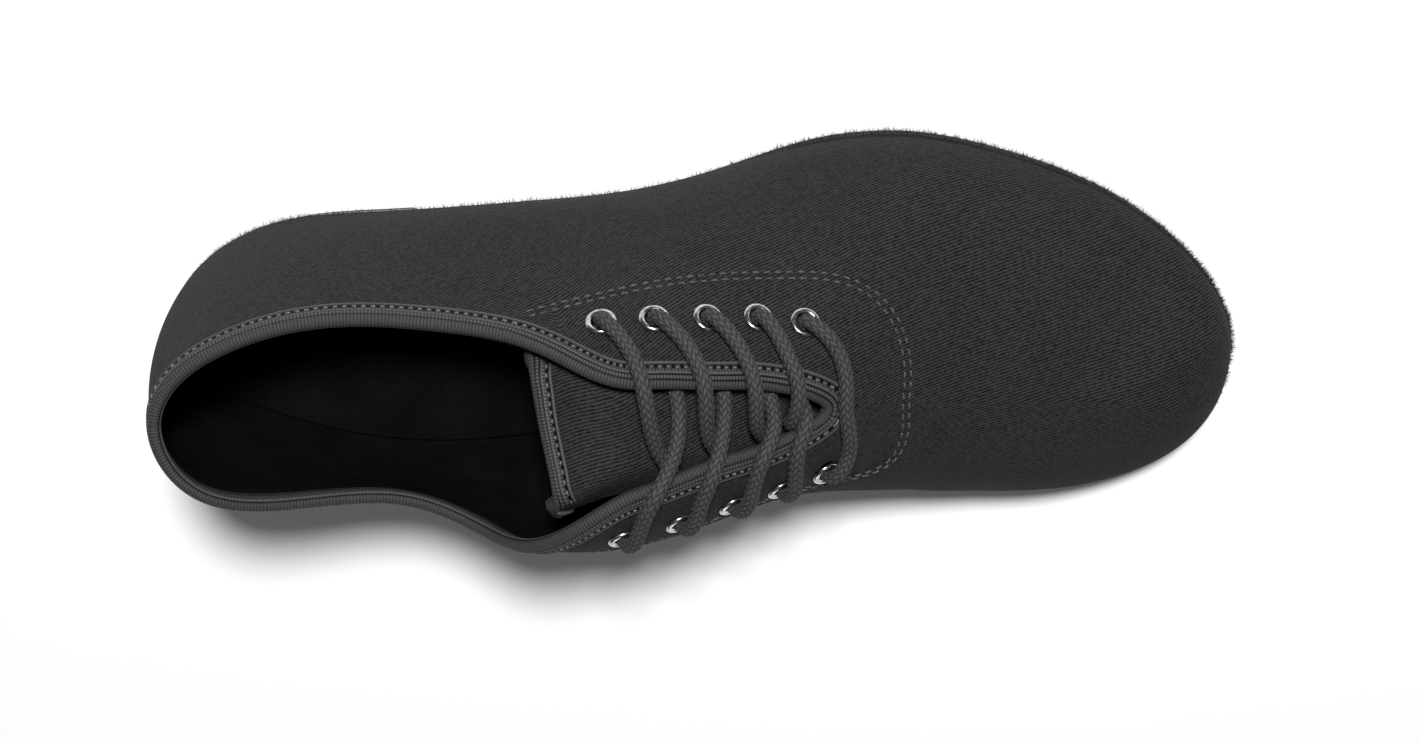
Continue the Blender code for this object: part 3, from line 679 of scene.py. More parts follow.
def flat_pattern(grid, turns, climbs):
    """Flat cutting pattern of the upper in millimetres, slit up the back of the heel. Its threads start
    spread out from the ridge of the last, then take up their true lengths."""
    columns = np.arange(0, grid.shape[1], PATTERN_STEP)
    rows = np.linspace(0, grid.shape[0] - 1, PATTERN_ROWS).astype(int)
    spots = grid[np.ix_(rows, columns)]
    down = np.linspace(np.pi / 2, 0, 80)
    start = np.empty((*spots.shape[:2], 2))
    for i, column in enumerate(columns):
        wall = last_point(np.full_like(down, turns[column]), down)
        walked = path_lengths(wall)
        reach = np.interp(-climbs[rows, column], -down, walked)
        start[:, i] = wall[0, :2] + unit(wall[-1, :2] - wall[0, :2]) * reach[:, None]
    names = np.arange(start[..., 0].size).reshape(start.shape[:2])
    past_ridge = turns[columns] < -VAMP_TURN + 1e-6
    names[-1] = np.where(past_ridge, names[-1, ::-1], names[-1])
    threads = np.concatenate([np.stack([one.ravel(), other.ravel()]) for one, other in (
        (names[:, :-1], names[:, 1:]), (names[:-1], names[1:]),
        (names[:-1, :-1], names[1:, 1:]), (names[1:, :-1], names[:-1, 1:]))], axis=1)
    lengths = np.linalg.norm(spots.reshape(-1, 3)[threads[0]] - spots.reshape(-1, 3)[threads[1]], axis=1)
    hold = 1e-6
    pulls = hold * np.eye(names.size)
    for one, other in (threads, threads[::-1]):
        np.add.at(pulls, (one, one), 1)
        np.add.at(pulls, (one, other), -1)
    settle = np.linalg.inv(pulls)
    pattern = start.reshape(-1, 2)
    held = pattern * hold
    for _ in range(PATTERN_ROUNDS):
        span = pattern[threads[0]] - pattern[threads[1]]
        span = span * (lengths / np.maximum(np.linalg.norm(span, axis=1), 1e-6))[:, None]
        wanted = held.copy()
        np.add.at(wanted, threads[0], span)
        np.add.at(wanted, threads[1], -span)
        pattern = settle @ wanted
    pattern = pattern[names]
    every_column = np.arange(grid.shape[1], dtype=float)
    every_row = np.arange(grid.shape[0], dtype=float)
    wide = np.stack([[spline(columns.astype(float), row[:, axis], every_column) for axis in (0, 1)]
                     for row in pattern])
    tall = np.stack([[spline(rows.astype(float), wide[:, axis, column], every_row) for axis in (0, 1)]
                     for column in range(grid.shape[1])])
    return tall.transpose(2, 0, 1)


def even_out(piece, path, width, rounds):
    """Evens out a piece's surface near a path of points."""
    mesh = piece.data
    spots = np.array([vertex.co for vertex in mesh.vertices])
    links = np.array([edge.vertices for edge in mesh.edges])
    links = np.concatenate([links, links[:, ::-1]])
    near = nearness(spots / MM - LAST_SHIFT, path, width)[:, None]
    count = np.bincount(links[:, 0], minlength=len(spots))[:, None]
    for _ in range(rounds):
        sums = [np.bincount(links[:, 0], spots[links[:, 1], axis], len(spots)) for axis in range(3)]
        spots = spots + near * 0.5 * (np.stack(sums, axis=-1) / count - spots)
    mesh.vertices.foreach_set("co", spots.ravel())
    mesh.update()


upper_faces = np.concatenate([skin, skin[:, ::-1] + lining_start, rim_quads])
upper_side = np.where(upper_turns >= 0, 1, -1)
upper_pattern = laid_on_cloth(flat_pattern(outer, upper_turns, upper_climbs), upper_side).reshape(-1, 2)
upper = add_piece("upper", np.concatenate([outer_flat, inner_flat]), upper_faces, [twill, lining], "twill",
                  replaces=["upper"], cloth_map=np.concatenate([upper_pattern, upper_pattern]),
                  face_finish=np.repeat([0, 1], [len(skin), len(upper_faces) - len(skin)]))
toe_ridge = last_point(np.linspace(turn_of(TOE_RIDGE_START), np.pi, 60), np.pi / 2)
even_out(upper, toe_ridge, TOE_RIDGE_WIDTH, TOE_RIDGE_ROUNDS)

# Facing stitches: two rows of grey thread that hold the eyelet strip behind the throat, each stitch a short
# raised float that dips into the cloth at both ends.

THREAD = 0.28
FACING_PITCH = 2.8
FACING_STITCH = 1.9
FACING_RISE = 0.42
FACING_SMOOTHING = 7.0
THREAD_DARK = (0.008, 0.008, 0.009)
THREAD_LIGHT = (0.105, 0.105, 0.110)
STITCH_RINGS = 9
STITCH_SIDES = 8


def smoothed(values, sigma):
    """Values evened out along a row of points, its ends held."""
    reach = int(4 * sigma)
    weight = np.exp(-np.arange(-reach, reach + 1)**2 / (2 * sigma**2))
    before = 2 * values[0] - values[reach:0:-1]
    after = 2 * values[-1] - values[-2:-reach - 2:-1]
    return np.convolve(np.concatenate([before, values, after]), weight / weight.sum(), "valid")


def smoothed_path(path, sigma):
    return np.stack([smoothed(path[:, axis], sigma) for axis in range(3)], axis=-1)


def points_at(path, walked, at):
    """Points of a path at distances along it, given the way walked to each of its own points."""
    return np.stack([np.interp(at, walked, path[:, axis]) for axis in range(3)], axis=-1)


def stitch_row(path, walked, up, pitch, length, radius, rise):
    """Bowed threads laid in a row along a path, given the way walked along it and the way off the cloth."""
    starts = np.arange((pitch - length) / 2, walked[-1] - length, pitch)
    part = np.linspace(0, 1, STITCH_RINGS)
    at = starts[:, None] + length * part
    spot = points_at(path, walked, at)
    above = unit(points_at(up, walked, at))
    bow = 1 - (2 * part - 1)**4
    spot = spot + above * (rise * bow - radius)[None, :, None]
    beside = unit(np.cross(np.gradient(spot, axis=1), above))
    angle = np.linspace(0, 2 * np.pi, STITCH_SIDES, endpoint=False)
    thick = radius * np.sqrt(np.clip(1 - (2 * part - 1)**6, 0.02, 1))[None, :, None, None]
    around = beside[:, :, None] * np.cos(angle)[:, None] + above[:, :, None] * np.sin(angle)[:, None]
    rings = spot[:, :, None] + thick * around
    one = grid_faces(STITCH_RINGS, STITCH_SIDES, closed=True)
    size = STITCH_RINGS * STITCH_SIDES
    faces = (one[None] + size * np.arange(len(starts))[:, None, None]).reshape(-1, 4)
    return rings.reshape(-1, 3), faces


def joined(meshes):
    """One set of points and faces from several."""
    points, faces, count = [], [], 0
    for some_points, some_faces in meshes:
        points.append(some_points.reshape(-1, 3))
        faces.append(some_faces + count)
        count += len(points[-1])
    return np.concatenate(points), np.concatenate(faces)


def thread_finish(name, dark, light):
    finish = new_finish(name, light, 0.5, Specular_IOR_Level=0.25)
    twist = grain(finish, 0.35, 2)
    tint(finish, twist, dark, light, 0.3, 0.65)
    relief(finish, twist, 0.08)
    vary_roughness(finish, twist, 0.4, 0.7)
    return finish


thread = thread_finish("thread", THREAD_DARK, THREAD_LIGHT)
facing_rows = []
for row_turn, row_climb in (facing_outer, facing_inner):
    row_path = off_last(row_turn, row_climb, np.full_like(row_turn, -STITCH_PULL))
    row_path = smoothed_path(row_path, FACING_SMOOTHING)
    facing_rows.append(stitch_row(row_path, path_lengths(row_path), outward(row_turn, row_climb),
                                  FACING_PITCH, FACING_STITCH, THREAD, FACING_RISE))
add_piece("facing_stitches", *joined(facing_rows), [thread], "twill")

# Eyelets: gunmetal rings pressed through the upper, five a side. Each has a rolled rim on the outside,
# a barrel and a splayed back.

EYELET_HOLE = 2.1
EYELET_BARREL = 2.6
EYELET_RIM = 3.8
RIM_RISE = 1.15
EYELET_SEGMENTS = 40
GUNMETAL_DARK = (0.28, 0.28, 0.29)
GUNMETAL_LIGHT = (0.60, 0.60, 0.61)


def eyelet_profile():
    """Radius and height above the cloth, round the section of one eyelet."""
    bend = np.linspace(np.pi, -0.25 * np.pi, 12)
    middle = (EYELET_HOLE + EYELET_RIM) / 2
    half = (EYELET_RIM - EYELET_HOLE) / 2
    rim = np.stack([middle + half * np.cos(bend), 0.35 + (RIM_RISE - 0.35) * np.sin(bend)], axis=-1)
    back = np.array([
        (EYELET_BARREL, -0.35), (EYELET_BARREL, -WALL - 0.7), (3.1, -WALL - 0.75), (3.3, -WALL - 1.0),
        (3.1, -WALL - 1.25), (2.4, -WALL - 1.15), (EYELET_HOLE, -WALL - 0.7),
    ])
    return np.concatenate([rim, back])


def turned(place, profile, segments, sunk):
    """Rings of a profile turned about the cloth's normal at a place on the last."""
    axis = outward(*place)
    right = unit(np.cross(axis, (0.0, 0.0, 1.0)))
    ahead = np.cross(axis, right)
    angle = np.linspace(0, 2 * np.pi, segments, endpoint=False)[:, None, None]
    around = right * np.cos(angle) + ahead * np.sin(angle)
    return last_point(*place) + around * profile[None, :, :1] + axis * (profile[None, :, 1:] - sunk)


gunmetal = new_finish("gunmetal", GUNMETAL_LIGHT, 0.2, Metallic=1.0)
scratches = grain(gunmetal, 1.2, 4, stretch=(1.0, 3.0, 1.0))
tint(gunmetal, scratches, GUNMETAL_DARK, GUNMETAL_LIGHT, 0.3, 0.6)
relief(gunmetal, grain(gunmetal, 0.5, 2), 0.02, 0.5)
vary_roughness(gunmetal, scratches, 0.12, 0.28)
for side in EYELET_ROWS:
    rings = []
    for number in range(1, EYELET_COUNT + 1):
        ring = turned(eyelet_place(side, number), eyelet_profile(), EYELET_SEGMENTS, EYELET_DIMPLE)
        closed_ring = np.concatenate([ring, ring[:, :1]], axis=1).swapaxes(0, 1)
        rings.append((closed_ring, grid_faces(*closed_ring.shape[:2], closed=True)))
    add_piece(f"eyelets_{side}", *joined(rings), [gunmetal], "eyelet",
              replaces=[f"eyelet_{side}_{number}" for number in range(1, EYELET_COUNT + 1)])

# Collar binding: ribbed elastic tape folded over the collar and throat edge in one loop, sewn through near
# its outer selvedge. The fold is a thick ribbed roll; the flat part shows a corded selvedge and needle holes.

LOOP_STEPS = 760
VAMP_ROUNDING = 3.0
STITCH_LINE = 4.55
BINDING_PITCH = 2.1
BINDING_STITCH = 1.15
BINDING_THREAD = 0.26
BINDING_RISE = 0.40
SEWN_LINE = STITCH_LINE - 0.10
SEWN_HEIGHT = 0.66
TAPE_RIB = 0.80
# Tape colour from painted shade in the grooves, rib gaps and needle holes to painted highlight on the raised
# cords
TAPE_DARK = (0.0015, 0.0015, 0.0017)
TAPE_LIGHT = (0.088, 0.088, 0.092)
BINDING_THREAD_DARK = (0.03, 0.03, 0.032)
BINDING_THREAD_LIGHT = (0.17, 0.17, 0.18)
BINDING_OUTSIDE = np.array([
    # height above the upper, distance down from its edge, how light it is painted and how ribbed it looks;
    # the light column is painted shade in the grooves and painted highlight on the raised cords:
    # selvedge cord, sewn band, thin cord, groove, ribbed cord, groove, rolled fold
    (0.10, 5.80, 0.15, 0.0), (0.48, 5.94, 0.55, 0.2), (0.88, 5.74, 0.90, 0.3), (0.96, 5.46, 0.90, 0.3),
    (0.80, 5.20, 0.35, 0.1), (0.66, 5.00, 0.18, 0.0), (0.64, 4.70, 0.20, 0.0), (0.64, 4.30, 0.40, 0.3),
    (0.70, 3.90, 0.70, 0.9), (0.78, 3.50, 0.75, 0.9), (0.98, 3.22, 1.00, 0.3), (1.02, 3.02, 1.00, 0.3),
    (0.90, 2.84, 0.30, 0.1), (0.56, 2.70, 0.00, 0.0), (0.56, 2.58, 0.00, 0.0), (0.96, 2.44, 0.40, 0.5),
    (1.16, 2.22, 0.95, 1.0), (1.20, 1.95, 1.00, 1.0), (1.12, 1.68, 0.85, 1.0), (0.94, 1.52, 0.30, 0.5),
    (0.70, 1.42, 0.00, 0.0), (0.70, 1.32, 0.00, 0.0), (0.96, 1.16, 0.40, 0.5), (1.04, 0.80, 0.55, 0.7),
    (0.96, 0.40, 0.58, 0.7), (0.72, 0.00, 0.55, 0.7), (0.36, -0.32, 0.50, 0.6), (-0.05, -0.52, 0.48, 0.5),
    (-0.50, -0.60, 0.48, 0.5),
])
BINDING_INSIDE = np.array([
    # the same columns, the light one again painted shade and highlight: rest of the fold, light cord,
    # ribbed cord, thin cord, inner band, then back along the cloth, whose rows are painted dark as shade
    (-0.95, -0.52, 0.48, 0.5), (-1.26, -0.40, 0.40, 0.5), (-1.40, -0.20, 0.00, 0.0),
    (-1.46, -0.08, 0.00, 0.0), (-1.72, -0.14, 0.50, 0.3), (-1.96, 0.08, 1.00, 0.3), (-2.08, 0.40, 1.00, 0.3),
    (-2.06, 0.70, 0.50, 0.2), (-1.84, 0.84, 0.00, 0.0), (-1.84, 0.96, 0.00, 0.0), (-2.06, 1.08, 0.45, 0.5),
    (-2.20, 1.50, 0.85, 1.0), (-2.20, 1.95, 0.85, 1.0), (-2.16, 2.22, 0.70, 1.0), (-1.96, 2.44, 0.40, 0.5),
    (-1.56, 2.58, 0.00, 0.0), (-1.56, 2.70, 0.00, 0.0), (-1.90, 2.84, 0.60, 0.3), (-2.00, 3.10, 0.80, 0.3),
    (-1.90, 3.50, 0.40, 0.9), (-1.85, 4.60, 0.35, 0.9), (-1.90, 5.40, 0.50, 0.3), (-1.80, 5.80, 0.40, 0.1),
    (-1.40, 5.94, 0.20, 0.0), (-1.08, 5.70, 0.00, 0.0), (-1.05, 2.00, 0.00, 0.0), (-1.02, 0.25, 0.00, 0.0),
    (-0.50, -0.15, 0.00, 0.0), (0.02, 0.25, 0.00, 0.0), (0.05, 2.00, 0.00, 0.0), (0.08, 5.70, 0.00, 0.0),
])
BINDING_SECTION = np.concatenate([BINDING_OUTSIDE, BINDING_INSIDE])

# The loop in (turn, climb) goes up the lateral edge and, past the ridge, back down the medial one;
# it is evened out so that the tape rounds the point of the throat.
fine_turn = np.linspace(0, VAMP_TURN, 1200)
loop_turn = np.concatenate([fine_turn, fine_turn[-2::-1]])
loop_climb = np.concatenate([edge_climb(fine_turn), np.pi - edge_climb(-fine_turn[-2::-1])])
loop_walked = path_lengths(last_point(loop_turn, loop_climb))
loop_at = np.linspace(0, loop_walked[-1], LOOP_STEPS + 1)
loop_step = loop_at[1]
loop_turn = np.maximum(smoothed(np.interp(loop_at, loop_walked, loop_turn), VAMP_ROUNDING / loop_step), 0)
loop_climb = smoothed(np.interp(loop_at, loop_walked, loop_climb), VAMP_ROUNDING / loop_step)
loop_edge = last_point(loop_turn, loop_climb)
loop_normal = outward(loop_turn, loop_climb)
loop_ahead = np.concatenate([loop_edge[1:], loop_edge[1:2]])
loop_behind = np.concatenate([loop_edge[-2:-1], loop_edge[:-1]])
loop_down = unit(np.cross(loop_normal, unit(loop_ahead - loop_behind)))


def below_edge(distance, height):
    """Points a distance down the upper from its edge and a height above it."""
    if distance <= 0:
        return loop_edge + loop_normal * height + loop_down * distance
    turn, climb = walk(loop_turn, loop_climb, loop_down, distance)
    return off_last(turn, climb, np.full_like(turn, height))


def read_trait(finish, trait):
    return add_node(finish, "Attribute", {}, attribute_name=trait).outputs["Fac"]


def tape_finish(name, stitch_across):
    """Ribbed tape. Its cloth map runs along the tape and, from the outer border, across its section. Its
    colour is painted light: painted shade in the grooves, between the ribs and in the needle holes, and
    painted highlight on the raised cords.
    """
    finish = new_finish(name, TAPE_LIGHT, 0.6, Sheen_Weight=0.01, Sheen_Roughness=0.4,
                        Specular_IOR_Level=0.15)
    # The light trait is painted shade and highlight: low in the grooves, high on the raised cords.
    light = read_trait(finish, "light")
    along, across, _ = cloth_place(finish)
    rib = rib_height(finish, work_out(finish, "DIVIDE", along, TAPE_RIB))
    between = work_out(finish, "SUBTRACT", 1.0, rib)
    # Painted shade between the ribs of the ribbed rows.
    rib_gap_shade = work_out(finish, "MULTIPLY", between, read_trait(finish, "ribbed"))
    hole_along = work_out(finish, "POWER", work_out(finish, "PINGPONG", along, BINDING_PITCH / 2), 2.0)
    hole_across = work_out(finish, "POWER", work_out(finish, "SUBTRACT", across, stitch_across), 2.0)
    from_hole = work_out(finish, "SQRT", work_out(finish, "ADD", hole_along, hole_across))
    # Needle holes are painted dark as painted shade.
    hole_rim = {"Value": from_hole, "From Min": 0.38, "From Max": 0.62}
    open_cloth = add_node(finish, "MapRange", hole_rim).outputs[0]
    lint = grain(finish, 0.5, 3)
    solid = work_out(finish, "SUBTRACT", 1.0, work_out(finish, "MULTIPLY", rib_gap_shade, 0.85))
    solid = work_out(finish, "MULTIPLY", solid, open_cloth)
    painted_shade_and_lint = work_out(finish, "MULTIPLY", work_out(finish, "MULTIPLY", light, solid),
                     work_out(finish, "ADD", lint, 0.5))
    tint(finish, painted_shade_and_lint, TAPE_DARK, TAPE_LIGHT, 0.0, 1.0)
    relief(finish, work_out(finish, "ADD", solid, work_out(finish, "MULTIPLY", lint, 0.3)), 0.22)
    vary_roughness(finish, lint, 0.5, 0.75)
    return finish


def tape_piece(name, rings, along, replaces):
    """Folded tape from one ring of points for each row of the section."""
    rings = np.concatenate([rings, rings[:1]])
    # The light trait carries painted shade and highlight for each row of the section.
    looks = [(trait, np.repeat(closed_section[:, column], len(along)))
             for trait, column in (("light", 2), ("ribbed", 3))]
    add_piece(name, rings, grid_faces(*rings.shape[:2]), [tape], "tape", replaces=replaces,
              cloth_map=np.stack(np.meshgrid(along, section_walk), axis=-1), traits=looks)


def tape_stitches(name, line, walked, up):
    """Row of stitches along the sewn band of a tape."""
    sewn = stitch_row(line, walked, up, BINDING_PITCH, BINDING_STITCH, BINDING_THREAD, BINDING_RISE)
    add_piece(name, *sewn, [binding_thread], "tape")


closed_section = np.concatenate([BINDING_SECTION, BINDING_SECTION[:1]])
section_walk = path_lengths(closed_section[:, :2])
stitch_across = np.interp(-STITCH_LINE, -BINDING_OUTSIDE[2:, 1], section_walk[2:len(BINDING_OUTSIDE)])
tape = tape_finish("ribbed_tape", stitch_across)
binding_rings = np.stack([below_edge(distance, height) for height, distance, *_ in BINDING_SECTION])
binding_rings[:, -1] = binding_rings[:, 0]
tape_piece("collar_binding", binding_rings, loop_at, ["collar_binding"])

binding_thread = thread_finish("binding_thread", BINDING_THREAD_DARK, BINDING_THREAD_LIGHT)
tape_stitches("binding_stitches", below_edge(SEWN_LINE, SEWN_HEIGHT), loop_at, loop_normal)

# Tongue: a padded twill flap sewn in under the front of the throat and lying below the facings and laces,
# with rounded corners and a folded tape across its top edge.

TONGUE_THICK = 2.0
TONGUE_DEPTH = 8.0
TONGUE_FRONT_DEPTH = 2.8
TONGUE_FRONT = 0.73
TONGUE_TOP = {"lateral": 0.318, "medial": 0.36}
TONGUE_RAIL = 78.0
TONGUE_LAP = {"front": 16.0, "top": 12.0}
TONGUE_STEPS = 110
TONGUE_ACROSS = 44
TONGUE_CORNER = 6.0
TONGUE_RIB = 0.84
TONGUE_SLOPE = 0.34
TONGUE_PAD = 0.9
TONGUE_TAPE_SHRINK = 0.88
TONGUE_TAPE_END = 4.0
TONGUE_TAPE_STEPS = 180


def smooth_path(points, count):
    """Evenly spaced points on a smooth curve through a few points."""
    walked = path_lengths(points)
    at = np.linspace(0, walked[-1], count)
    return np.stack([spline(walked, points[:, axis], at) for axis in range(3)], axis=-1)


def tongue_side(side, along):
    """Hidden border and visible rail of the tongue on one side, along from 0 in front to 1 at the top."""
    share = TONGUE_FRONT + (TONGUE_TOP[side] - TONGUE_FRONT) * along
    turn = EYELET_ROWS[side][0] * turn_of(share)
    rail = np.minimum(edge_climb(turn), np.radians(TONGUE_RAIL))
    depth = TONGUE_DEPTH + (TONGUE_FRONT_DEPTH - TONGUE_DEPTH) * ease(share, VAMP_SHARE, TONGUE_FRONT)
    lap = TONGUE_LAP["front"] + (TONGUE_LAP["top"] - TONGUE_LAP["front"]) * along**2
    return off_last(turn, rail - np.radians(lap), -depth), off_last(turn, rail, -depth)


def tongue_row(along):
    lateral_border, lateral_rail = tongue_side("lateral", along)
    medial_border, medial_rail = tongue_side("medial", along)
    middle = (lateral_rail + medial_rail) / 2
    row = np.stack([lateral_border, lateral_rail, middle, medial_rail, medial_border])
    return smooth_path(row, TONGUE_ACROSS + 1)


tongue_along = 1 - np.linspace(1, 0, TONGUE_STEPS + 1)**1.6
tongue_rows = np.stack([tongue_row(along) for along in tongue_along])
tongue_middle = path_lengths(tongue_rows[:, TONGUE_ACROSS // 2])
from_top = tongue_middle[-1] - tongue_middle
tongue_cloth = np.empty((*tongue_rows.shape[:2], 2))
for i, row in enumerate(tongue_rows):
    walked = path_lengths(row)
    into_corner = np.clip(TONGUE_CORNER - from_top[i], 0, TONGUE_CORNER)
    cut = TONGUE_CORNER - np.sqrt(TONGUE_CORNER**2 - into_corner**2)
    at = np.linspace(cut, walked[-1] - cut, TONGUE_ACROSS + 1)
    tongue_rows[i] = points_at(row, walked, at)
    tongue_cloth[i, :, 0] = -tongue_middle[i]
    tongue_cloth[i, :, 1] = walked[-1] / 2 - at + TONGUE_SLOPE * tongue_middle[i]
tongue_normal = unit(np.cross(np.gradient(tongue_rows, axis=1), np.gradient(tongue_rows, axis=0)))
tongue_normal = tongue_normal * np.sign(tongue_normal[..., 2:])
from_side = np.minimum(np.linspace(0, 1, TONGUE_ACROSS + 1), np.linspace(1, 0, TONGUE_ACROSS + 1))
pad = TONGUE_PAD * ease(from_side, 0, 0.35)[None, :] * ease(from_top, 3.0, 14.0)[:, None]
tongue_top = tongue_rows + tongue_normal * (pad - 0.05)[..., None]
tongue_under = tongue_rows - tongue_normal * TONGUE_THICK
tongue_twill = twill_finish("tongue_twill", TONGUE_RIB)
tongue_quads = grid_faces(*tongue_rows.shape[:2])
tongue_at = np.arange(tongue_rows[..., 0].size).reshape(tongue_rows.shape[:2])
tongue_border = np.concatenate([tongue_at[0, :-1], tongue_at[:-1, -1],
                                tongue_at[-1, :0:-1], tongue_at[:0:-1, 0]])
tongue_beside = np.roll(tongue_border, -1)
tongue_below = tongue_at.size
tongue_walls = np.stack([tongue_border, tongue_beside,
                         tongue_beside + tongue_below, tongue_border + tongue_below], axis=-1)
tongue_faces = np.concatenate([tongue_quads, tongue_quads[:, ::-1] + tongue_below, tongue_walls])
add_piece("tongue", np.concatenate([tongue_top.reshape(-1, 3), tongue_under.reshape(-1, 3)]), tongue_faces,
          [tongue_twill, lining], "twill", replaces=["tongue"],
          cloth_map=np.concatenate([tongue_cloth, tongue_cloth]),
          face_finish=np.repeat([0, 1, 0], [len(tongue_quads), len(tongue_quads), len(tongue_walls)]))

corner_rows = np.flatnonzero(from_top <= TONGUE_TAPE_END)


def round_the_top(grid):
    """Border values of a grid over the tongue, from its lateral corner across the top to its medial one."""
    return np.concatenate([grid[corner_rows, 0], grid[-1, 1:-1], grid[corner_rows[::-1], -1]])


top_border = round_the_top(tongue_rows)
border_walked = path_lengths(top_border)
top_at = np.linspace(0, border_walked[-1], TONGUE_TAPE_STEPS)
top_path = smoothed_path(points_at(top_border, border_walked, top_at), 3.0)
top_normal = unit(smoothed_path(points_at(round_the_top(tongue_normal), border_walked, top_at), 4.0))
top_inward = unit(np.cross(top_normal, unit(np.gradient(top_path, axis=0))))
well_inside = tongue_rows[-20].mean(axis=0)
top_inward = top_inward * np.sign(np.einsum("ij,ij->i", top_inward, well_inside - top_path))[:, None]


def on_tongue(distance, height):
    """Points a distance in from the tongue's border and a height above its top face."""
    return top_path + top_inward * distance * TONGUE_TAPE_SHRINK + top_normal * height


def tongue_section():
    """The collar's tape section, opened out to the tongue's thickness."""
    heights = BINDING_SECTION[:, 0]
    opened = np.where(heights < -EDGE_WALL / 2, heights + EDGE_WALL - TONGUE_THICK, heights)
    opened = np.where(heights == -EDGE_WALL / 2, -TONGUE_THICK / 2, opened)
    return np.stack([opened, BINDING_SECTION[:, 1]], axis=-1)


tape_rings = np.stack([on_tongue(distance, height) for height, distance in tongue_section()])
tape_ends = np.repeat(tape_rings[:, [0, -1]].mean(axis=0, keepdims=True), len(tape_rings), axis=0)
tape_rings = np.concatenate([tape_ends[:, :1], tape_rings, tape_ends[:, 1:]], axis=1)
tape_piece("tongue_binding", tape_rings, np.pad(top_at, 1, mode="edge"), ["tongue_binding"])
tape_stitches("tongue_stitches", on_tongue(SEWN_LINE, SEWN_HEIGHT), top_at, top_normal)

# Outsole: flexible board faced with suede, brushed underneath, its cut edge left fibrous. It stands a
# little proud of the forefoot and tucks in under the waist and heel seat.

SOLE_PROUD = 0.4
SOLE_TUCK = 1.0
SUEDE_DARK = (0.008, 0.0075, 0.0075)
SUEDE_LIGHT = (0.034, 0.032, 0.031)
NAP_COUNT = 15000
NAP_LENGTH = (0.4, 1.5)
NAP_WIDTH = 0.14
FIBRE_DARK = (0.010, 0.010, 0.011)
FIBRE_LIGHT = (0.060, 0.060, 0.063)


def sole_margin(turn):
    return SOLE_PROUD - (SOLE_PROUD + SOLE_TUCK) * (1 - ease(share_of(turn), 0.48, 0.62))


suede = new_finish("suede", SUEDE_LIGHT, 0.95, Sheen_Weight=0.05, Sheen_Roughness=0.6,
                   Specular_IOR_Level=0.06)
suede_nap = blend(suede, grain(suede, 0.35, 4), 0.65, grain(suede, 11.0, 3, stretch=(0.5, 1.0, 1.0)), 0.35)
tint(suede, suede_nap, SUEDE_DARK, SUEDE_LIGHT, 0.36, 0.66)
relief(suede, suede_nap, 0.3)
vary_roughness(suede, suede_nap, 0.85, 1.0)
sole_profile = rounded_edge(0.0, SOLE_THICK, 0.5)
add_piece("outsole", *slab(sole_margin, sole_profile, 150), [suede], "suede", replaces=["outsole"])

# Fibres of the cut edge, each a thin leaf that leans its own way.
nap = np.random.default_rng(7)
nap_turn = np.pi * nap.uniform(-1, 1, NAP_COUNT)
nap_foot = outline(nap_turn, sole_margin(np.abs(nap_turn)) - 0.1)
nap_height = -SOLE_THICK * nap.beta(0.7, 1.1, NAP_COUNT)
nap_foot = np.concatenate([nap_foot, seat_height(nap_foot[:, :1]) + nap_height[:, None]], axis=-1)
nap_out = unit(outline(nap_turn, 1.0) - outline(nap_turn, 0.0))
nap_lean = np.pad(nap_out, ((0, 0), (0, 1))) + nap.normal(0, 0.55, (NAP_COUNT, 3))
nap_tip = nap_foot + unit(nap_lean) * nap.uniform(*NAP_LENGTH, (NAP_COUNT, 1))
nap_tip[:, 2] = np.maximum(nap_tip[:, 2], 0.05)
nap_side = unit(np.cross(nap_lean, nap.normal(0, 1, (NAP_COUNT, 3)))) * NAP_WIDTH / 2
nap_points = np.stack([nap_foot - nap_side, nap_foot + nap_side,
                       nap_tip + nap_side / 3, nap_tip - nap_side / 3], axis=1)
fibre = new_finish("edge_fibre", FIBRE_LIGHT, 0.8, Specular_IOR_Level=0.1)
fibre_mix = grain(fibre, 0.8, 2)
tint(fibre, fibre_mix, FIBRE_DARK, FIBRE_LIGHT, 0.35, 0.65)
relief(fibre, fibre_mix, 0.05)
vary_roughness(fibre, fibre_mix, 0.7, 0.95)
add_piece("sole_edge_fibres", nap_points, np.arange(NAP_COUNT * 4).reshape(-1, 4), [fibre], "suede")

# Heel: a low block of satin black that narrows towards the floor and is fixed up against the heel seat.
# A thin suede-faced top piece is fixed to its foot.

HEEL_BREAST_TOP = 63.0
HEEL_BREAST_FOOT = 60.0
HEEL_INSET_TOP = 0.8
HEEL_INSET_FOOT = 6.5
HEEL_CORNER = 3.0
HEEL_GAP = 0.3
TOP_PIECE = 4.0
TOP_PIECE_JOINT = 0.012
HEEL_SOFTENING = 0.02
HEEL_EDGE_INSET = 0.4
HEEL_CAP_INSET = 8.0
HEEL_DARK = (0.008, 0.008, 0.009)
HEEL_LIGHT = (0.022, 0.022, 0.024)


def heel_ring(share, extra):
    """Outline of the heel at a share of its height, 0 at the floor, drawn in by an extra amount."""
    breast = HEEL_BREAST_FOOT + (HEEL_BREAST_TOP - HEEL_BREAST_FOOT) * share - extra
    inset = HEEL_INSET_FOOT + (HEEL_INSET_TOP - HEEL_INSET_FOOT) * share + extra
    corner = turn_of((breast - HEEL_CORNER) / LENGTH)
    turn = np.linspace(-corner, corner, 97)
    side = outline(turn, -inset - SOLE_TUCK)
    bend = np.linspace(0, np.pi / 2, 7)[1:]
    reach = np.stack([np.sin(bend) * (breast - side[-1, 0]),
                      -np.sign(side[-1, 1]) * (1 - np.cos(bend)) * HEEL_CORNER], axis=-1)
    lateral_bend = side[-1] + reach
    medial_bend = (side[0] + reach * (1, -1))[::-1]
    front = np.linspace(lateral_bend[-1], medial_bend[0], 14)[1:-1]
    plan = np.concatenate([side, lateral_bend, front, medial_bend])
    top = seat_height(plan[:, :1]) - SOLE_THICK - HEEL_GAP
    return np.concatenate([plan, top * share], axis=-1)


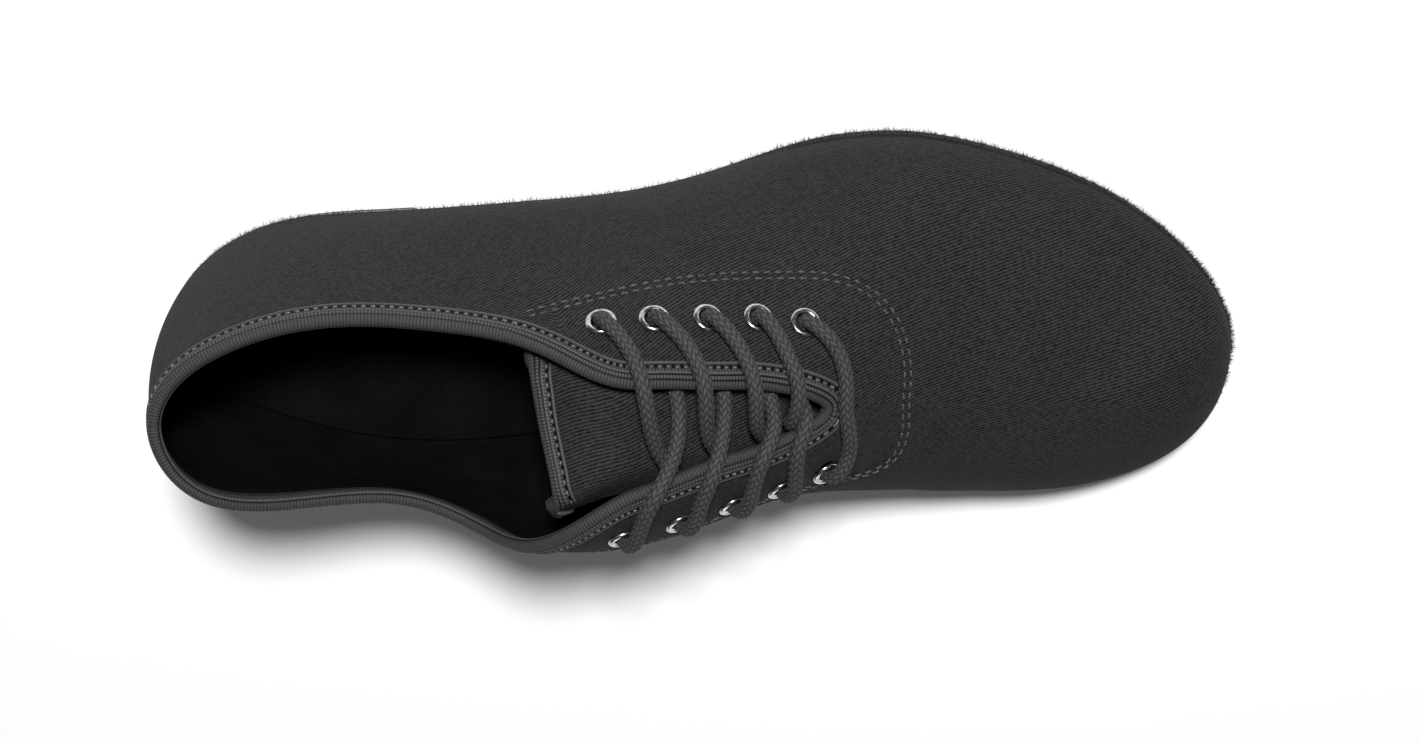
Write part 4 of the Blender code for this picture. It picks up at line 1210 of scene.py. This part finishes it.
def heel_part(low, high):
    """Closed block between two heights of the heel, given as shares, with softened corners."""
    corner = ((0.0, HEEL_CAP_INSET), (0.0, HEEL_CAP_INSET), (0.0, HEEL_EDGE_INSET), (HEEL_SOFTENING, 0.0))
    rows = [(low + rise, inset) for rise, inset in corner]
    rows.append(((low + high) / 2, 0.0))
    rows += [(high - rise, inset) for rise, inset in corner[::-1]]
    rings = np.stack([heel_ring(share, extra) for share, extra in rows])
    rings[[0, -1]] = rings[[0, -1]].mean(axis=1, keepdims=True)
    return rings, grid_faces(len(rows), rings.shape[1], closed=True)


heel_satin = new_finish("heel_satin", HEEL_LIGHT, 0.45, Coat_Weight=0.1, Coat_Roughness=0.3)
heel_grain = grain(heel_satin, 0.8, 3, stretch=(1.0, 1.0, 2.5))
tint(heel_satin, heel_grain, HEEL_DARK, HEEL_LIGHT, 0.3, 0.7)
relief(heel_satin, heel_grain, 0.06, 0.6)
vary_roughness(heel_satin, heel_grain, 0.36, 0.55)
top_piece_share = TOP_PIECE / HEEL_LIFT
for name, low, high, finish, slot, stood_for in (
        ("heel", top_piece_share + TOP_PIECE_JOINT, 1.0, heel_satin, "heel", ["heel"]),
        ("heel_top_piece", 0.0, top_piece_share, suede, "suede", [])):
    add_piece(name, *heel_part(low, high), [finish], slot, replaces=stood_for)

# Lace: one round braided cord in black. It comes up through each eyelet, crosses over its own edge of the
# throat, dives under the other edge and comes up through the next eyelet; a bar joins the two front ones.

LACE_RADIUS = 1.82
LACE_IN_EYELET = 1.6
LACE_SQUEEZE_WIDTH = 2.6
LACE_SIDES = 32
LACE_RING_STEP = 0.26
BRAID_STRANDS = 10
BRAID_PITCH = 1.0
BRAID_DEPTH = 0.40
# Cord colour from the crevices between strands, darkened as painted shade, to the strand backs, lightened as
# painted highlight
LACE_DARK = (0.0015, 0.0015, 0.0017)
LACE_LIGHT = (0.078, 0.078, 0.082)
LACE_FLAT = 2.6
LACE_OVER = 3.25
LACE_UNDER = -4.4
LACE_SWING = {"lateral": 0.005, "medial": 0.0}
CROSSING_ACROSS = 0.74
CROSSING_HEIGHTS = (-0.6, -0.6, -0.2, 0.9)
CROSSING_APART = {"lateral": -1.8, "medial": 1.8}
LACE_RUNS = {
    # side: for each crossing, share from the eyelet to its own edge, from it to the far edge, and from the
    # lateral eyelet to the crossing
    "lateral": ((0.027, 0.067, 0.055), (0.037, 0.069, 0.057), (0.041, 0.074, 0.061), (0.042, 0.058, 0.048)),
    "medial": ((0.003, 0.038, 0.060), (0.014, 0.040, 0.060), (0.022, 0.043, 0.068), (0.016, 0.034, 0.054)),
}
BAR_BOW = 0.038
OPPOSITE = {"lateral": "medial", "medial": "lateral"}


def over_eyelet(side, number, towards, distance, height):
    """Point beside an eyelet in the direction of another point, at a height above the cloth."""
    place = eyelet_place(side, number)
    axis = outward(*place)
    spot = last_point(*place)
    away = towards - spot
    away = unit(away - axis * (away @ axis))
    return spot + away * distance + axis * height


def up_through(side, number, towards, height):
    """Points of the cord as it comes up through an eyelet and bends over its rim."""
    return [over_eyelet(side, number, towards, distance, rise)
            for distance, rise in ((-0.2, -1.2), (0.1, 1.2), (2.9, height))]


def crossing_points(side, number):
    """Points of the cord from one eyelet over the throat to the underside of the next one opposite."""
    sign = EYELET_ROWS[side][0]
    to_near, to_far, to_meet = LACE_RUNS[side][number - 1]
    eyelet_turn, eyelet_climb = eyelet_place(side, number)
    eyelet_share = share_of(eyelet_turn)
    near_turn = sign * turn_of(eyelet_share + to_near)
    near_climb = edge_climb(near_turn)
    far_turn = -sign * turn_of(eyelet_share + to_far)
    far_climb = edge_climb(far_turn)
    meet_turns = np.array([1.0, -1.0]) * turn_of(share_of(eyelet_place("lateral", number)[0]) + to_meet)
    meet_edges = last_point(meet_turns, edge_climb(meet_turns))
    meet_up = unit(outward(meet_turns, edge_climb(meet_turns)).sum(axis=0))
    meet = meet_edges[0] + (meet_edges[1] - meet_edges[0]) * CROSSING_ACROSS
    meet = meet + meet_up * (CROSSING_HEIGHTS[number - 1] + CROSSING_APART[side])
    near = off_last(near_turn, near_climb, LACE_OVER)
    far = off_last(far_turn, far_climb, LACE_UNDER)
    half_turn = sign * turn_of(eyelet_share + to_near / 2 + LACE_SWING[side])
    half = off_last(half_turn, (eyelet_climb + near_climb) / 2, LACE_OVER)
    beneath_next = over_eyelet(OPPOSITE[side], number + 1, far, 4.2, LACE_UNDER - 0.4)
    return [*up_through(side, number, near, LACE_FLAT + 0.3), half, near, meet, far, beneath_next]


def lace_half(first_side):
    """Points of the cord from its hidden end at a top eyelet down to the front eyelet, where the bar is."""
    side = first_side
    points = [over_eyelet(side, 1, last_point(0.0, 0.5), 0.5, -5.0)]
    for number in range(1, EYELET_COUNT):
        points += crossing_points(side, number)
        side = OPPOSITE[side]
    return points, side


first_half, bar_from = lace_half("lateral")
second_half, bar_to = lace_half("medial")
bar_start = eyelet_place(bar_from, EYELET_COUNT)
bar_end = eyelet_place(bar_to, EYELET_COUNT)
bar_part = np.array([0.22, 0.36, 0.5, 0.64, 0.78])
bar_share = share_of(bar_start[0]) + (share_of(bar_end[0]) - share_of(bar_start[0])) * bar_part
bar_turn = turn_of(bar_share + BAR_BOW * np.sin(np.pi * bar_part)**0.7)
bar_climb = bar_start[1] + (np.pi - bar_end[1] - bar_start[1]) * bar_part
bar_height = LACE_FLAT + (LACE_OVER - LACE_FLAT) * ease(np.sin(np.pi * bar_part), 0.5, 0.9)
bar_points = off_last(bar_turn, bar_climb, bar_height)
bar_rise = up_through(bar_from, EYELET_COUNT, bar_points[0], LACE_FLAT)
bar_fall = up_through(bar_to, EYELET_COUNT, bar_points[-1], LACE_FLAT)[::-1]
lace_points = np.array([*first_half, *bar_rise, *bar_points, *bar_fall, *second_half[::-1]])
lace_length = path_lengths(smooth_path(lace_points, 4000))[-1]
lace_path = smooth_path(lace_points, int(lace_length / LACE_RING_STEP))


def carried_frame(path):
    """Tangent and a side direction that is carried along a path without twisting."""
    tangent = unit(np.gradient(path, axis=0))
    side = np.empty_like(path)
    side[0] = unit(np.cross(tangent[0], (0.3, 0.5, 0.8)))
    for i in range(1, len(path)):
        side[i] = unit(side[i - 1] - tangent[i] * (side[i - 1] @ tangent[i]))
    return tangent, side


def braid_height(angle, along):
    """Height of a cord braided over two and under two, from 0 in the gaps to 1 on a strand's back."""
    round_by = BRAID_STRANDS * angle / (2 * np.pi)
    one = round_by + along / (2 * BRAID_PITCH)
    other = round_by - along / (2 * BRAID_PITCH)
    one_cell, other_cell = np.floor(one), np.floor(other)
    step = np.mod(one_cell + other_cell, 4)
    one_on_top = step < 2
    across = np.where(one_on_top, one - one_cell, other - other_cell) - 0.5
    run = np.where(one_on_top, step + other - other_cell, step - 2 + one - one_cell) / 2 - 0.5
    return np.cos(np.pi * across)**0.8 * (0.35 + 0.65 * np.cos(np.pi * run))


lace_tangent, lace_side = carried_frame(lace_path)
lace_up = np.cross(lace_tangent, lace_side)
lace_walked = path_lengths(lace_path)
lace_angle = np.linspace(0, 2 * np.pi, LACE_SIDES, endpoint=False)
braid = braid_height(lace_angle[None, :], lace_walked[:, None])
squeeze = nearness(lace_path, EYELET_SPOTS, LACE_SQUEEZE_WIDTH)
lace_thick = LACE_RADIUS + (LACE_IN_EYELET - LACE_RADIUS) * squeeze
lace_radius = lace_thick[:, None] + BRAID_DEPTH * (braid - 0.6)
lace_around = (lace_side[:, None] * np.cos(lace_angle)[:, None]
               + lace_up[:, None] * np.sin(lace_angle)[:, None])
lace_rings = lace_path[:, None] + lace_radius[..., None] * lace_around
lace_caps = np.stack([np.repeat(lace_path[[end]], LACE_SIDES, axis=0) for end in (0, -1)])
lace_rings = np.concatenate([lace_caps[:1], lace_rings, lace_caps[1:]])
# Braid height kept as the lift trait, which paints shade into the crevices between strands.
lace_painted_shade = np.pad(braid, ((1, 1), (0, 0)))

cord = new_finish("braided_cord", LACE_LIGHT, 0.65, Sheen_Weight=0.02, Sheen_Roughness=0.4,
                  Specular_IOR_Level=0.15)
cord_fuzz = grain(cord, 0.22, 3)
# Painted shade in the braid crevices and painted highlight on the strand backs, with random fuzz.
cord_painted_shade = blend(cord, read_trait(cord, "lift"), 0.75, cord_fuzz, 0.3)
tint(cord, cord_painted_shade, LACE_DARK, LACE_LIGHT, 0.1, 0.95)
relief(cord, cord_fuzz, 0.10, 0.7)
vary_roughness(cord, cord_fuzz, 0.55, 0.8)
add_piece("lace", lace_rings, grid_faces(*lace_rings.shape[:2], closed=True), [cord], "lace",
          replaces=[*(f"lace_cross_{number}" for number in range(1, EYELET_COUNT)), "lace_bar"],
          traits=[("lift", lace_painted_shade)])

# Studio: a white floor, a key light from the outer side near the camera, a wide fill, and the camera
# where the photograph was taken from, almost overhead with the outer side of the shoe at the top.

PHOTO_SIZE = (1420, 742)
FOCAL_PIXELS = 2789.0
SENSOR = 36.0
# Millimetres in the frame
CAMERA_SPOT = np.array([-13.2, 264.2, 677.0])
CAMERA_AIM = np.array([0.5, -8.2, 30.0])
CAMERA_ROLL = np.radians(1.78)
FLOOR_REACH = 6.0
FLOOR_WHITE = (0.86, 0.86, 0.86)
WORLD_LIGHT = 0.10

floor_corners = [(x * FLOOR_REACH, y * FLOOR_REACH, 0) for x, y in ((-1, -1), (1, -1), (1, 1), (-1, 1))]
floor_mesh = bpy.data.meshes.new("floor")
floor_mesh.from_pydata(floor_corners, [], [(0, 1, 2, 3)])
floor = bpy.data.objects.new("floor", floor_mesh)
bpy.context.scene.collection.objects.link(floor)
floor_finish = new_finish("floor_white", FLOOR_WHITE, 0.9, Specular_IOR_Level=0.1)
floor_mesh.materials.append(floor_finish)

world = bpy.data.worlds.new("studio")
world.use_nodes = True
background = world.node_tree.nodes["Background"].inputs
background["Color"].default_value = (1, 1, 1, 1)
background["Strength"].default_value = WORLD_LIGHT
bpy.context.scene.world = world
bpy.context.scene.view_settings.view_transform = "Standard"

# Each light is turned to the middle of the floor.
LIGHTS = (
    # name, place and size in metres, power in watts
    ("key", (0.0, 1.00, 1.67), 0.30, 50.0),
    ("fill", (0.2, -1.9, 0.55), 0.9, 5.0),
)
for name, spot, size, power in LIGHTS:
    light = bpy.data.lights.new(name, "AREA")
    light.shape = "DISK"
    light.size = size
    light.energy = power
    lamp = bpy.data.objects.new(name, light)
    lamp.matrix_world = Matrix.Translation(spot) @ Vector(spot).to_track_quat("Z", "Y").to_matrix().to_4x4()
    bpy.context.scene.collection.objects.link(lamp)

look = unit(CAMERA_AIM - CAMERA_SPOT)
level = unit(np.array([1.0, 0.0, 0.0]) - look * look[0])
above = np.cross(level, look)
right = level * np.cos(CAMERA_ROLL) + above * np.sin(CAMERA_ROLL)
up = above * np.cos(CAMERA_ROLL) - level * np.sin(CAMERA_ROLL)
camera_data = bpy.data.cameras.new("camera")
camera_data.sensor_width = SENSOR
camera_data.lens = FOCAL_PIXELS * SENSOR / PHOTO_SIZE[0]
camera_data.clip_start = 0.05
camera = bpy.data.objects.new("camera", camera_data)
turn_matrix = Matrix(np.stack([right, up, -look], axis=1).tolist()).to_4x4()
camera.matrix_world = Matrix.Translation(CAMERA_SPOT * MM) @ turn_matrix
bpy.context.scene.collection.objects.link(camera)
bpy.context.scene.camera = camera
